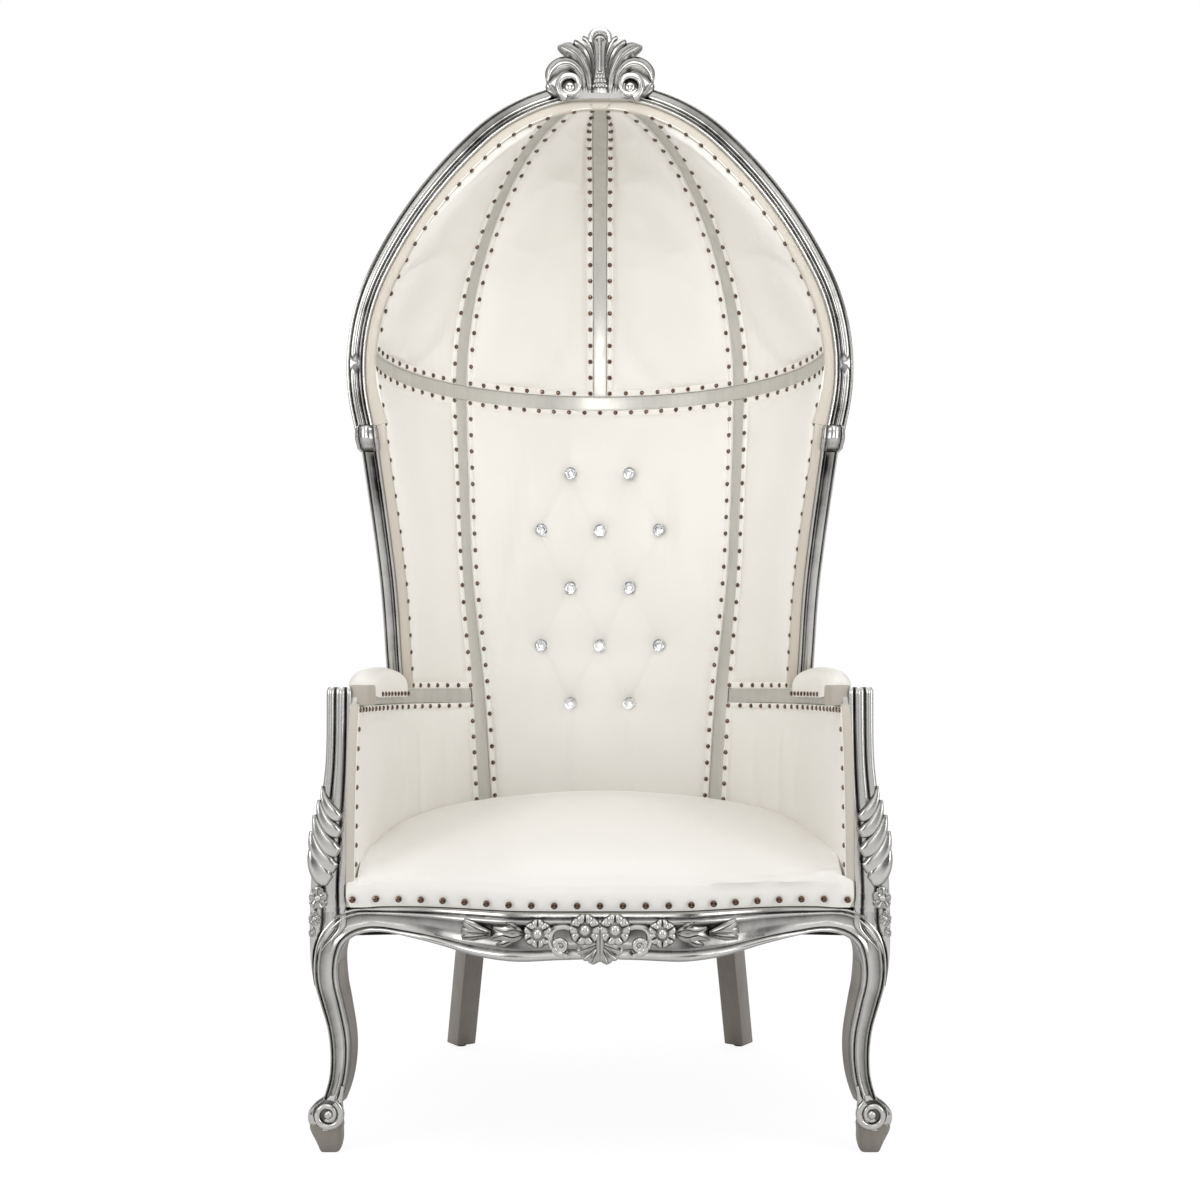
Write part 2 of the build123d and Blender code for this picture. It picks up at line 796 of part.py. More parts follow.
def volute(plane, radius, relief):
    """Round eye of a scroll, stepped up to its middle."""
    with BuildPart() as eye:
        with Locations(plane.offset(-relief)):
            Cylinder(radius, relief * 1.7, align=BASE_ALIGN)
            Cylinder(radius * 0.6, relief * 2, align=BASE_ALIGN)
    return eye.part


# Moulded frame of the hood: half an arch, a collar and a stile on each side
front = DEPTH_ZERO + HOOD_START_DEPTH
tail = (TAIL_HEIGHT - KNUCKLE_HEIGHT - COLLAR_HEIGHT / 2) / cos(TAIL_LEAN)
with BuildPart() as hood_arch:
    with BuildLine(Plane.XZ.offset(-front)) as arch_path:
        crown = JernArc((0, ARCH_HEIGHT), (1, 0), CROWN_RADIUS, -CROWN_TURN)
        flank = JernArc(crown @ 1, crown % 1, FLANK_RADIUS, -FLANK_TURN)
        shoulder = JernArc(flank @ 1, flank % 1, SHOULDER_RADIUS, -SHOULDER_TURN)
        PolarLine(shoulder @ 1, tail - FRAME_BEAD, direction=shoulder % 1)
    with BuildSketch(Plane.YZ):
        moulded_face(
            (front, ARCH_HEIGHT + FRAME_FACE / 2),
            (front, ARCH_HEIGHT - FRAME_FACE / 2),
            (front + FRAME_DEPTH, ARCH_HEIGHT - FRAME_FACE / 2),
            (front + FRAME_DEPTH, ARCH_HEIGHT + FRAME_FACE / 2),
            FRAME_BEAD,
        )
    sweep(path=arch_path.wire())
save_pair(hood_arch.part, "hood_arch")


# Carved crest, whose foot laps over the front of the arch and rests on top of it
crest_front = front - FRAME_BEAD - CLEARANCE
crest_rise = CREST_HEIGHT - ARCH_HEIGHT
crest_relief = CREST_RELIEF / 2


def crest_plane(x, height):
    """Plane half way through the crest's relief, facing forwards."""
    origin = (x, crest_front - crest_relief, height)
    return Plane(origin=origin, x_dir=(1, 0, 0), z_dir=(0, -1, 0))


with BuildPart() as crest_carving:
    with BuildSketch(Plane.XZ.offset(-crest_front)):
        with Locations((0, ARCH_HEIGHT + FRAME_FACE / 2)):
            Ellipse(CREST_HALF_WIDTH * 0.72, crest_rise * 0.5)
        with Locations((0, ARCH_HEIGHT - CROWN_RADIUS)):
            Circle(CROWN_RADIUS + FRAME_FACE / 2 + CLEARANCE, mode=Mode.SUBTRACT)
    extrude(amount=-CREST_THICKNESS)
    with BuildSketch(crest_plane(0, ARCH_HEIGHT)):
        Ellipse(CREST_HALF_WIDTH * 0.62, crest_rise * 0.18)
    extrude(amount=-crest_relief)
    for (root, rise, long, wide), turn in zip(CREST_LEAF_SHARES, CREST_LEAF_TURNS):
        for side in (-1, 1):
            spot = crest_plane(side * root * CREST_HALF_WIDTH, ARCH_HEIGHT + rise * crest_rise)
            heading = 90 - side * turn
            add(leaf(spot, heading, long * crest_rise, wide * crest_rise, crest_relief))
    for side in (-1, 1):
        spot = crest_plane(side * (CREST_HALF_WIDTH / 2 + VOLUTE_RADIUS / 3), ARCH_HEIGHT)
        add(volute(spot, VOLUTE_RADIUS, crest_relief))
    with Locations((0, crest_front - crest_relief, CREST_HEIGHT - KNOB_RADIUS)):
        Sphere(KNOB_RADIUS)
save(crest_carving.part, "crest_carving")


def stile_face(height, swell):
    """Section of the stile or its collar, square to the wall."""
    start, end = at_frame(height), turn_at_depth(height, frame_back(height))
    outer = FRAME_INNER + STILE_FACE + swell
    lead = (at_frame(height) - end) / FRAME_DEPTH * swell
    moulded_face(
        wall_place(height, start + lead, FRAME_INNER),
        wall_place(height, start + lead, outer),
        wall_place(height, end, outer),
        wall_place(height, end, FRAME_INNER),
        FRAME_BEAD,
        wall_place(height, (start + end) / 2, FRAME_INNER),
    )


with BuildPart() as hood_stile:
    for height in spread(BAND_TOP + CLEARANCE, KNUCKLE_HEIGHT - COLLAR_HEIGHT / 2, 7):
        with BuildSketch(Plane.XY.offset(height)):
            stile_face(height, 0)
    loft()
save_pair(hood_stile.part, "hood_stile")

with BuildPart() as hood_collar:
    for share in spread(-1, 1, 5):
        height = KNUCKLE_HEIGHT + (COLLAR_HEIGHT / 2 - CLEARANCE) * share
        with BuildSketch(Plane.XY.offset(height)):
            stile_face(height, COLLAR_SWELL * (1 - share**2))
    loft()
save_pair(hood_collar.part, "hood_collar")


def side_face(inner, outer, front_share, back_share):
    """Moulded section of a front leg or arm post between two places along X."""
    near = DEPTH_ZERO + LEG_DEPTH * front_share
    far = DEPTH_ZERO + LEG_DEPTH * back_share
    moulded_face((inner, near), (outer, near), (outer, far), (inner, far), LEG_BEAD)


# Cabriole front legs with a scroll at the toe
scroll_x = HALF_WIDTH - SCROLL_RADIUS
with BuildPart() as front_leg:
    for up, inner, outer, near, far in LEG_SHARES:
        inner_x, outer_x = HALF_WIDTH - inner * LEG_WIDTH, HALF_WIDTH - outer * LEG_WIDTH
        with BuildSketch(Plane.XY.offset(SEAT_TOP * up)):
            side_face(inner_x, outer_x, near, far)
    loft()
    for up, inner, outer, near, far in FOOT_SHARES:
        inner_x, outer_x = HALF_WIDTH - inner * LEG_WIDTH, HALF_WIDTH - outer * LEG_WIDTH
        with BuildSketch(Plane.XY.offset(SCROLL_HEIGHT * up)):
            with Locations(
                (
                    (inner_x + outer_x) / 2,
                    DEPTH_ZERO + LEG_DEPTH * (near + far) / 2,
                )
            ):
                Rectangle(outer_x - inner_x, LEG_DEPTH * (far - near))
    loft()
    with BuildSketch(Plane.XZ.offset(-DEPTH_ZERO)):
        with Locations((scroll_x, SCROLL_HEIGHT)):
            Circle(SCROLL_RADIUS)
    extrude(amount=-LEG_DEPTH * FOOT_SHARES[-1][4])
save_pair(front_leg.part, "front_leg")

# Arm posts on top of the legs
with BuildPart() as arm_post:
    for up, outer, near, far in POST_SHARES:
        height = TUB_FLOOR + (POST_HEIGHT - TUB_FLOOR) * up
        inner_x = wall_place(height, pi / 2, FRAME_INNER)[0]
        with BuildSketch(Plane.XY.offset(height)):
            side_face(inner_x, HALF_WIDTH - outer * LEG_WIDTH, near, far)
    loft()
save_pair(arm_post.part, "arm_post")

# Bowed apron between the front legs
apron_end = HALF_WIDTH - LEG_SHARES[-1][1] * LEG_WIDTH - CLEARANCE


def apron_line(behind):
    """The apron's bow from right to left, moved back."""
    half = [(share * apron_end, -APRON_BOW * bow) for share, bow in BOW_SHARES]
    whole = [(-x, depth) for x, depth in reversed(half[1:])] + half
    return [(x, DEPTH_ZERO + depth + behind) for x, depth in whole]


def apron_plane(x, height):
    """Plane on the apron's bowed front, facing forwards."""
    line = apron_line(0)
    k = min(max(bisect_right([px for px, _ in line], x) - 1, 0), len(line) - 2)
    (ax, ay), (bx, by) = line[k], line[k + 1]
    y = ay + (by - ay) * (x - ax) / (bx - ax)
    return Plane(origin=(x, y, height), x_dir=(bx - ax, by - ay, 0), z_dir=(by - ay, ax - bx, 0))


def apron_carving():
    """Shell, scrolls, flowers and leaf sprays in the middle of the apron."""
    level = SEAT_TOP - APRON_DROP * 0.4
    wide = SHELL_HALF_WIDTH
    deep = CARVING_RELIEF
    with BuildPart() as carving:
        for turn in (-90, -60, -120, -32, -148):
            add(leaf(apron_plane(0, level - wide * 0.1), turn, wide * 1.05, wide * 0.55, deep))
        for side in (-1, 1):
            heading = 90 - side * 90
            flower = apron_plane(side * wide * 0.45, level + wide * 0.1)
            add(rosette(flower, wide * 0.5, 4, deep))
            curl = apron_plane(side * wide * 1.3, level - wide * 0.45)
            add(volute(curl, wide * 0.28, deep / 2))
            add(rosette(apron_plane(side * ROSETTE_SPREAD, level), ROSETTE_RADIUS, 5, deep))
            first = side * (ROSETTE_SPREAD + ROSETTE_RADIUS * 0.8)
            second = first + side * SPRAY_LENGTH * 0.9
            for turn in (-14, 14):
                spray = apron_plane(first, level)
                add(leaf(spray, heading + turn, SPRAY_LENGTH, SPRAY_WIDTH, deep))
            tip = apron_plane(second, level)
            add(leaf(tip, heading + side * 10, SPRAY_LENGTH, SPRAY_WIDTH * 1.2, deep))
    return carving.part


edge_half = [(share * apron_end, SEAT_TOP - APRON_DROP * drop) for share, drop in EDGE_SHARES]
edge_line = [(-x, height) for x, height in reversed(edge_half[1:])] + edge_half
with BuildPart() as apron:
    with BuildSketch(Plane.XY.offset(SEAT_TOP - APRON_DROP)):
        face_between(apron_line(0), apron_line(APRON_THICKNESS))
    extrude(amount=APRON_DROP)
    with BuildSketch(Plane.XZ.offset(-DEPTH_ZERO + FRONT_REACH)):
        with BuildLine():
            Spline(*edge_line)
            Line(edge_line[-1], (apron_end, SEAT_TOP))
            Line((apron_end, SEAT_TOP), (-apron_end, SEAT_TOP))
            Line((-apron_end, SEAT_TOP), edge_line[0])
        make_face()
    extrude(amount=-FRONT_REACH - LEG_DEPTH, mode=Mode.INTERSECT)
    add(apron_carving())
save(apron.part, "apron")

# Rails of the seat
side_rail = wall_piece(RAIL_BOTTOM, RAIL_TOP, behind_rib, behind_post, 0, RAIL_WIDTH)
save_pair(side_rail, "side_rail")
back_rail = wall_piece(
    RAIL_BOTTOM,
    RAIL_TOP,
    lambda height: -back_end(height),
    back_end,
    0,
    RAIL_WIDTH,
)
save(back_rail, "back_rail")


def tub_floor(bottom, thickness, offset):
    """Flat board inside the tub, its front edge along the back of the apron."""
    turns = even_turns(bottom, -behind_post(bottom), behind_post(bottom), 21)
    curve = [wall_place(bottom, turn, offset) for turn in turns]
    front_line = apron_line(APRON_THICKNESS + CLEARANCE)
    width_share = curve[-1][0] / front_line[-1][0]
    front_line = [(x * min(width_share, 1), y) for x, y in front_line]
    with BuildPart() as board:
        with BuildSketch(Plane.XY.offset(bottom)):
            face_between(curve, front_line)
        extrude(amount=thickness)
    return board.part


save(tub_floor(RAIL_TOP + CLEARANCE, DECK_THICKNESS, TIMBER_THICKNESS - CLEARANCE), "seat_deck")
save(tub_floor(RAIL_BOTTOM, DUST_COVER_THICKNESS, -CLEARANCE), "dust_cover")

block_y = DEPTH_ZERO + LEG_DEPTH + LEG_BEAD
block_turn = turn_at_depth(RAIL_TOP, LEG_DEPTH + LEG_BEAD + BLOCK_SIDE)
block_x = wall_place(RAIL_TOP, block_turn, -CLEARANCE)[0]
with BuildPart() as corner_block:
    with BuildSketch(Plane.XY.offset(RAIL_BOTTOM + DUST_COVER_THICKNESS + CLEARANCE)):
        with BuildLine():
            Polyline(
                (block_x, block_y),
                (block_x, block_y + BLOCK_SIDE),
                (block_x - BLOCK_SIDE, block_y),
                close=True,
            )
        make_face()
    extrude(amount=RAIL_HEIGHT - DUST_COVER_THICKNESS - CLEARANCE)
save_pair(corner_block.part, "corner_block")

# Crowned seat, built up through its contours
seat_half, seat_start, seat_reach, seat_square = plan(TUB_FLOOR + SEAT_CROWN / 2)
seat_half -= SEAT_INSET
seat_back = seat_start + seat_reach - PANEL_CROWN - SEAT_INSET / 2
seat_long = seat_back + APRON_BOW
seat_rows = [(0, 0)]
for along in SEAT_ROW_SHARES:
    rise = (1 - (1 - along) ** 2) ** 0.625
    seat_rows.append((along, SEAT_EDGE_SHARE + (1 - SEAT_EDGE_SHARE) * rise))
with BuildPart() as seat_cushion:
    for along, up in seat_rows:
        half = seat_half * (1 - SEAT_SIDE_SHARE * along**1.3)
        lead, trail = SEAT_FRONT_SHARE * along, SEAT_REAR_SHARE * along**1.5
        start = DEPTH_ZERO - APRON_BOW + seat_long * lead
        rear = DEPTH_ZERO + seat_back - seat_long * trail
        front_line = []
        for x, y in apron_line(0):
            bow = (y - DEPTH_ZERO + APRON_BOW) * max(1 - lead * 3, 0)
            curl = (rear - start) / 2 * min(lead * 3, 1) * (abs(x) / apron_end) ** 2.5
            front_line.append((x * half / apron_end, start + bow + curl))
        near = max(DEPTH_ZERO + LEG_DEPTH, front_line[0][1] + SEAT_INSET)
        long = rear - near
        back_line = []
        for turn in spread(-pi / 2, pi / 2, 15):
            side = abs(sin(turn)) ** (2 / seat_square) * (1 if turn >= 0 else -1)
            back_line.append((half * side, near + long * max(cos(turn), 0) ** (2 / seat_square)))
        with BuildSketch(Plane.XY.offset(TUB_FLOOR + SEAT_CROWN * up)):
            face_between(back_line, front_line)
    loft(ruled=True)
save(seat_cushion.part, "seat_cushion")

# Raked rear legs on small glides
leg_foot = Plane.XY.offset(GLIDE_HEIGHT + CLEARANCE)
foot_reach = REAR_LEG_SIDE / 2 ** 0.5 * cos(radians(45 - REAR_LEG_TURN))
foot_y = DEPTH_ZERO + REAR_REACH - foot_reach
with BuildPart() as rear_leg:
    with BuildSketch(leg_foot):
        with Locations((REAR_SPREAD, foot_y)):
            Rectangle(REAR_LEG_SIDE, REAR_LEG_SIDE, rotation=-REAR_LEG_TURN)
    with BuildSketch(Plane.XY.offset(RAIL_BOTTOM - CLEARANCE)):
        with Locations((REAR_TOP_SPREAD, DEPTH_ZERO + REAR_TOP_DEPTH)):
            Rectangle(REAR_LEG_SIDE, REAR_LEG_SIDE, rotation=-REAR_LEG_TURN)
    loft()
save_pair(rear_leg.part, "rear_leg")
with BuildPart() as rear_glide:
    with BuildSketch(Plane.XY):
        with Locations((REAR_SPREAD, foot_y)):
            Circle(GLIDE_RADIUS)
    extrude(amount=GLIDE_HEIGHT)
save_pair(rear_glide.part, "rear_glide")
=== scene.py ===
"""Visual model of the throne chair: its soft panels, mouldings, carving, nails and buttons
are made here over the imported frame.

Shapes are worked out in millimetres, X across, depth backwards from the front of the feet
and Z up, and become metres when a mesh is built.
"""

import bmesh
import bpy
import numpy as np
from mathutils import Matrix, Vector


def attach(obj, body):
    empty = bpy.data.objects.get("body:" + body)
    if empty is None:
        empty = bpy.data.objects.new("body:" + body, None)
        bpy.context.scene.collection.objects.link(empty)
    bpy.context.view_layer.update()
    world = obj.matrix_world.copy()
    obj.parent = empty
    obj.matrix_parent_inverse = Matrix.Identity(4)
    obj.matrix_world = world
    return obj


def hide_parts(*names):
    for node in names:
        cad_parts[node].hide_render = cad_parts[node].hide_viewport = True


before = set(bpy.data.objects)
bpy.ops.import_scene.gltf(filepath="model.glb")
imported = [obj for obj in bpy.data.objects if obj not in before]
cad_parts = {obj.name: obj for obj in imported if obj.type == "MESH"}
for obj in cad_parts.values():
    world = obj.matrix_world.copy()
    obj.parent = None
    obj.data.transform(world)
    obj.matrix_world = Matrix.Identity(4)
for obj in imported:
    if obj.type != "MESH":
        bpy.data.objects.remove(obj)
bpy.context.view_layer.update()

# ---------------------------------------------------------------- sizes, as in the part

DEPTH_ZERO = -329.0
HALF_WIDTH = 416.0
SEAT_TOP = 349.0
TUB_FLOOR = 349.3
ARM_HEIGHT = 649.0
KNUCKLE_HEIGHT = 1054.0
RING_HEIGHT = 1181.0
ARCH_HEIGHT = 1600.0
BAND_WIDTH = 24.0
RIB_WIDTH = 26.0
FRAME_FACE = 31.0
FRAME_DEPTH = 46.0
STILE_FACE = 29.0
STILE_LEAN = np.radians(19.2)
FRAME_INNER = 10.0
LINING = FRAME_FACE / 2 + FRAME_INNER
DOME_TOP = ARCH_HEIGHT - LINING
DOME_POWER = 2.6
HOOD_START_DEPTH = 232.0
HOOD_BACK_DEPTH = 640.0
TUB_START_DEPTH = 12.0
TUB_BACK_DEPTH = 585.0
TUB_HALF_WIDTH = 355.0
LEG_DEPTH = 76.0
APRON_BOW = 37.0
APRON_END = 364.0
RIB_EDGE = RIB_WIDTH / 2 + 0.8
FLANGE = 9.0
PROUD = 3.0

STATIONS = np.array([349.0, 649.0, 850.0, 1054.0, 1169.0])
WIDTH_SHARES = np.array([1.0, 0.975, 0.938, 0.954, 1.0])
START_SHARES = np.array([0.0, 0.0, 0.54, 0.86, 1.0])
BACK_SHARES = np.array([0.0, 0.27, 0.49, 0.78, 1.0])
RIB_SHARES = np.array([0.807, 0.878, 0.943, 0.98, 1.0])
SQUARE_SHARES = np.array([3.0, 2.9, 2.35, 2.12, 2.0])
BUTTONS = [
    (column * 52.7, 1050.0 - 104.0 * row)
    for row in range(5)
    for column in ((-1, 1) if row % 2 == 0 else (-2, 0, 2))
]


# ---------------------------------------------------------------- curves and walls


def smooth_line(points, count):
    """Catmull-Rom curve through points: a cubic between each two, level with its neighbours."""
    p = np.asarray(points, float)
    t = np.linspace(0, len(p) - 1, count)
    k = np.clip(t.astype(int), 0, len(p) - 2)
    f = (t - k)[:, None]
    before, a, b = p[np.maximum(k - 1, 0)], p[k], p[k + 1]
    after = p[np.minimum(k + 2, len(p) - 1)]
    return 0.5 * (
        2 * a
        + (b - before) * f
        + (2 * before - 5 * a + 4 * b - after) * f**2
        + (3 * a - before - 3 * b + after) * f**3
    )


def smooth_value(table, x):
    """A table of (place, value) read on the smooth line through it."""
    line = smooth_line(table, 300)
    return np.interp(x, line[:, 0], line[:, 1])


def ease(x):
    """Smooth step: 3x^2 - 2x^3 between 0 and 1."""
    x = np.clip(x, 0, 1)
    return x * x * (3 - 2 * x)


def at(x, depth, z):
    """Points of the frame from their place across, their depth and their height."""
    return np.stack(np.broadcast_arrays(x, np.asarray(depth, float) + DEPTH_ZERO, z), -1).astype(float)


def station_value(shares, height):
    """Cubic Hermite curve through the five stations, with slopes between neighbours."""
    last = len(STATIONS) - 1
    low, high = np.maximum(np.arange(last + 1) - 1, 0), np.minimum(np.arange(last + 1) + 1, last)
    slope = (shares[high] - shares[low]) / (STATIONS[high] - STATIONS[low])
    k = np.clip(np.searchsorted(STATIONS, height, side="right") - 1, 0, last - 1)
    step = STATIONS[k + 1] - STATIONS[k]
    t = np.clip((height - STATIONS[k]) / step, 0, 1)
    change = (shares[k + 1] - shares[k]) * ease(t)
    return shares[k] + change + step * (slope[k] * t * (1 - t) ** 2 - slope[k + 1] * t**2 * (1 - t))


ARCH_ARCS = []
_x, _z, _turn = 0.0, ARCH_HEIGHT, 0.0
for _radius, _sweep in ((280.0, 42.0), (700.0, 22.0), (340.0, 38.0)):
    _cx, _cz = _x - _radius * np.sin(np.radians(_turn)), _z - _radius * np.cos(np.radians(_turn))
    ARCH_ARCS.append((_cx, _cz, _radius, _turn, _turn + _sweep))
    _turn += _sweep
    _x = _cx + _radius * np.sin(np.radians(_turn))
    _z = _cz + _radius * np.cos(np.radians(_turn))
TAIL_X, TAIL_HEIGHT, TAIL_LEAN = _x, _z, np.radians(_turn) - np.pi / 2


def arch_half_width(height, inset):
    """Half width of the arch's line at a height, moved inwards: circles, then a straight tail."""
    height = np.asarray(height, float)
    width = TAIL_X - inset / np.cos(TAIL_LEAN) - (TAIL_HEIGHT - height) * np.tan(TAIL_LEAN)
    for cx, cz, radius, _, end in reversed(ARCH_ARCS):
        reach = radius - inset
        lift = np.clip(height - cz, -reach, reach)
        inside = height >= cz + reach * np.cos(np.radians(end))
        width = np.where(inside, cx + np.sqrt(reach**2 - lift**2), width)
    return width


def arch_line(count):
    """Places (x, z) and inward directions along the arch's middle line, crown to collar."""
    places, inward = [], []
    for cx, cz, radius, start, end in ARCH_ARCS:
        turn = np.radians(np.linspace(start, end, count, endpoint=False))
        places.append(np.stack([cx + radius * np.sin(turn), cz + radius * np.cos(turn)], -1))
        inward.append(np.stack([-np.sin(turn), -np.cos(turn)], -1))
    tail = TAIL_HEIGHT - np.linspace(0, TAIL_HEIGHT - KNUCKLE_HEIGHT - 16, count // 2)
    places.append(np.stack([TAIL_X - (TAIL_HEIGHT - tail) * np.tan(TAIL_LEAN), tail], -1))
    side = np.array([-np.cos(TAIL_LEAN), np.sin(TAIL_LEAN)])
    inward.append(np.repeat(side[None], len(tail), 0))
    return np.concatenate(places), np.concatenate(inward)


RING_HALF_WIDTH = float(arch_half_width(RING_HEIGHT + BAND_WIDTH / 2, LINING))


def plan(height):
    """Half width, start depth, reach and squareness of the tub's inside at a height."""
    blend = np.clip((height - ARM_HEIGHT) / (KNUCKLE_HEIGHT - ARM_HEIGHT), 0, 1)
    base = TUB_HALF_WIDTH + (RING_HALF_WIDTH - TUB_HALF_WIDTH) * blend
    lead, lean = HOOD_START_DEPTH - TUB_START_DEPTH, HOOD_BACK_DEPTH - TUB_BACK_DEPTH
    start = TUB_START_DEPTH + lead * station_value(START_SHARES, height)
    back = TUB_BACK_DEPTH + lean * station_value(BACK_SHARES, height)
    across = base * station_value(WIDTH_SHARES, height)
    return across, start, back - start, station_value(SQUARE_SHARES, height)


def wall(height, turn):
    """Inside of the tub at a plan angle: a superellipse whose squareness follows the height."""
    across, start, reach, square = plan(height)
    side = np.abs(np.sin(turn)) ** (2 / square) * np.sign(turn)
    return across * side, start + reach * np.maximum(np.cos(turn), 0) ** (2 / square)


def turn_at_x(height, x):
    across, _, _, square = plan(height)
    return np.arcsin(np.minimum(x / across, 1) ** (square / 2))


def turn_at_depth(height, depth):
    _, start, reach, square = plan(height)
    return np.arccos(np.clip((depth - start) / reach, 0, 1) ** (square / 2))


def rib_turn(height, distance=0.0):
    """Plan angle of the side rib's middle, or of a line a distance beside it."""
    middle = turn_at_x(height, 245.0 * station_value(RIB_SHARES, height))
    step = np.radians(0.5)
    (ax, ay), (bx, by) = wall(height, middle - step), wall(height, middle + step)
    return middle + distance / np.hypot(bx - ax, by - ay) * 2 * step


def frame_front(height):
    """Depth of the hood frame's front, which leans back below the knuckle."""
    return HOOD_START_DEPTH + np.maximum(KNUCKLE_HEIGHT - height, 0) * np.tan(STILE_LEAN)


def wall_grid(low, high, start, end):
    """A surface of the wall: u runs up from low to high, v evenly along the wall's length."""

    def place(u, v):
        heights = low + (high - low) * u
        fine = np.linspace(0, 1, 121)
        first, last = start(heights)[:, None], end(heights)[:, None]
        turns = first + (last - first) * fine[None]
        x, depth = wall(heights[:, None], turns)
        run = np.hypot(np.diff(x, axis=1), np.diff(depth, axis=1))
        length = np.concatenate([np.zeros((len(u), 1)), np.cumsum(run, 1)], 1)
        length /= length[:, -1:]
        across = np.stack([np.interp(v, row, line) for row, line in zip(length, x)])
        back = np.stack([np.interp(v, row, line) for row, line in zip(length, depth)])
        return at(across, back, heights[:, None])

    return place


# The dome's ribs stand in upright planes that meet on one axis in front of the arch
_rib_x, _rib_depth = wall(np.array([RING_HEIGHT]), rib_turn(np.array([RING_HEIGHT])))
AXIS_SLOPE = (_rib_depth[0] - HOOD_START_DEPTH) / (245.0 - 60.0)
AXIS_DEPTH = HOOD_START_DEPTH - AXIS_SLOPE * 60.0
RIB_DIRECTION = np.arctan2(1, AXIS_SLOPE)
LAST_DIRECTION = np.arctan2(RING_HALF_WIDTH, HOOD_START_DEPTH - AXIS_DEPTH)


def dome_run(shift, direction, height):
    """Run from the axis to the dome's inside, where (x / wide)^2 + (depth / deep)^2 = 1."""
    side, back = np.sin(direction), np.cos(direction)
    up = np.clip((height - RING_HEIGHT) / (DOME_TOP - RING_HEIGHT), 0, 1)
    wide = np.maximum(arch_half_width(height, LINING), 0.3)
    reach = HOOD_BACK_DEPTH - HOOD_START_DEPTH
    deep = np.maximum(reach * (1 - up**DOME_POWER) ** (1 / DOME_POWER), 0.3)
    lead = AXIS_DEPTH - HOOD_START_DEPTH
    a = (side / wide) ** 2 + (back / deep) ** 2
    b = 2 * (shift * side / wide**2 + lead * back / deep**2)
    c = (shift / wide) ** 2 + (lead / deep) ** 2 - 1
    return (np.sqrt(np.maximum(b * b - 4 * a * c, 0)) - b) / (2 * a)


def dome_grid(first_cut, last_cut, end_depth=HOOD_START_DEPTH, base=RING_HEIGHT + BAND_WIDTH / 2 + 0.5):
    """A surface of the dome: v turns from one upright cut to another, u runs up each."""

    def place(u, v):
        shift = first_cut[0] + (last_cut[0] - first_cut[0]) * v
        direction = first_cut[1] + (last_cut[1] - first_cut[1]) * v
        end_run = (end_depth - AXIS_DEPTH) / np.cos(direction)
        low, high = np.full(len(v), base), np.full(len(v), DOME_TOP)
        for _ in range(40):
            middle = (low + high) / 2
            further = dome_run(shift, direction, middle) > end_run
            low, high = np.where(further, middle, low), np.where(further, high, middle)
        height = base + (low - base)[None] * np.sin(u[:, None] * np.pi / 2) ** 0.9
        run = dome_run(shift[None], direction[None], height)
        return at(shift + run * np.sin(direction), AXIS_DEPTH + run * np.cos(direction), height)

    return place


# ---------------------------------------------------------------- shells and meshes


def grid_faces(rows, columns, around=False):
    """Quads between neighbouring points of a grid; around joins the last column to the first."""
    a = np.arange(rows * columns).reshape(rows, columns)
    if around:
        a = np.concatenate([a, a[:, :1]], axis=1)
    return np.stack([a[:-1, :-1], a[:-1, 1:], a[1:, 1:], a[1:, :-1]], -1).reshape(-1, 4)


def tube(rings, tone=None, capped=True):
    """Closed skin over rings of points (stations, around, 3), each end shut by one face."""
    n, k = rings.shape[:2]
    faces = grid_faces(n, k, around=True).tolist()
    if capped:
        faces += [list(range(k))[::-1], list(range((n - 1) * k, n * k))]
    shade = np.zeros((n, k)) if tone is None else np.broadcast_to(tone, (n, k))
    return rings.reshape(-1, 3), faces, shade.reshape(-1)


def pad(front, back, tone=None):
    """Closed skin of a front and a back grid of the same size, joined along all four sides."""
    n, m = front.shape[:2]
    rings = np.concatenate([front, back[:, ::-1]], 1)
    faces = grid_faces(n, 2 * m, around=True)
    j = np.arange(m - 1)
    cap = np.stack([j, 2 * m - 1 - j, 2 * m - 2 - j, j + 1], -1)
    faces = np.concatenate([faces, cap, cap[:, ::-1] + (n - 1) * 2 * m])
    shade = np.zeros((n, 2 * m))
    if tone is not None:
        shade[:, :m] = tone
    return rings.reshape(-1, 3), faces.tolist(), shade.reshape(-1)


def mirrored(shells):
    """The same skins on the other side of the chair, turned so that they face outwards."""
    return [(v * [-1, 1, 1], [f[::-1] for f in faces], tone) for v, faces, tone in shells]


def turned(vectors):
    """Unit vectors."""
    return vectors / np.maximum(np.linalg.norm(vectors, axis=-1, keepdims=True), 1e-9)


def outward(grid, towards):
    """Normals of a grid: its two slopes crossed, on the side that the point is not on."""
    along, across = np.gradient(grid, axis=0), np.gradient(grid, axis=1)
    normal = turned(np.cross(along, across))
    middle = normal.reshape(-1, 3).mean(0)
    away = grid.reshape(-1, 3).mean(0) - np.asarray(towards, float)
    return normal * np.sign(np.dot(middle, away))


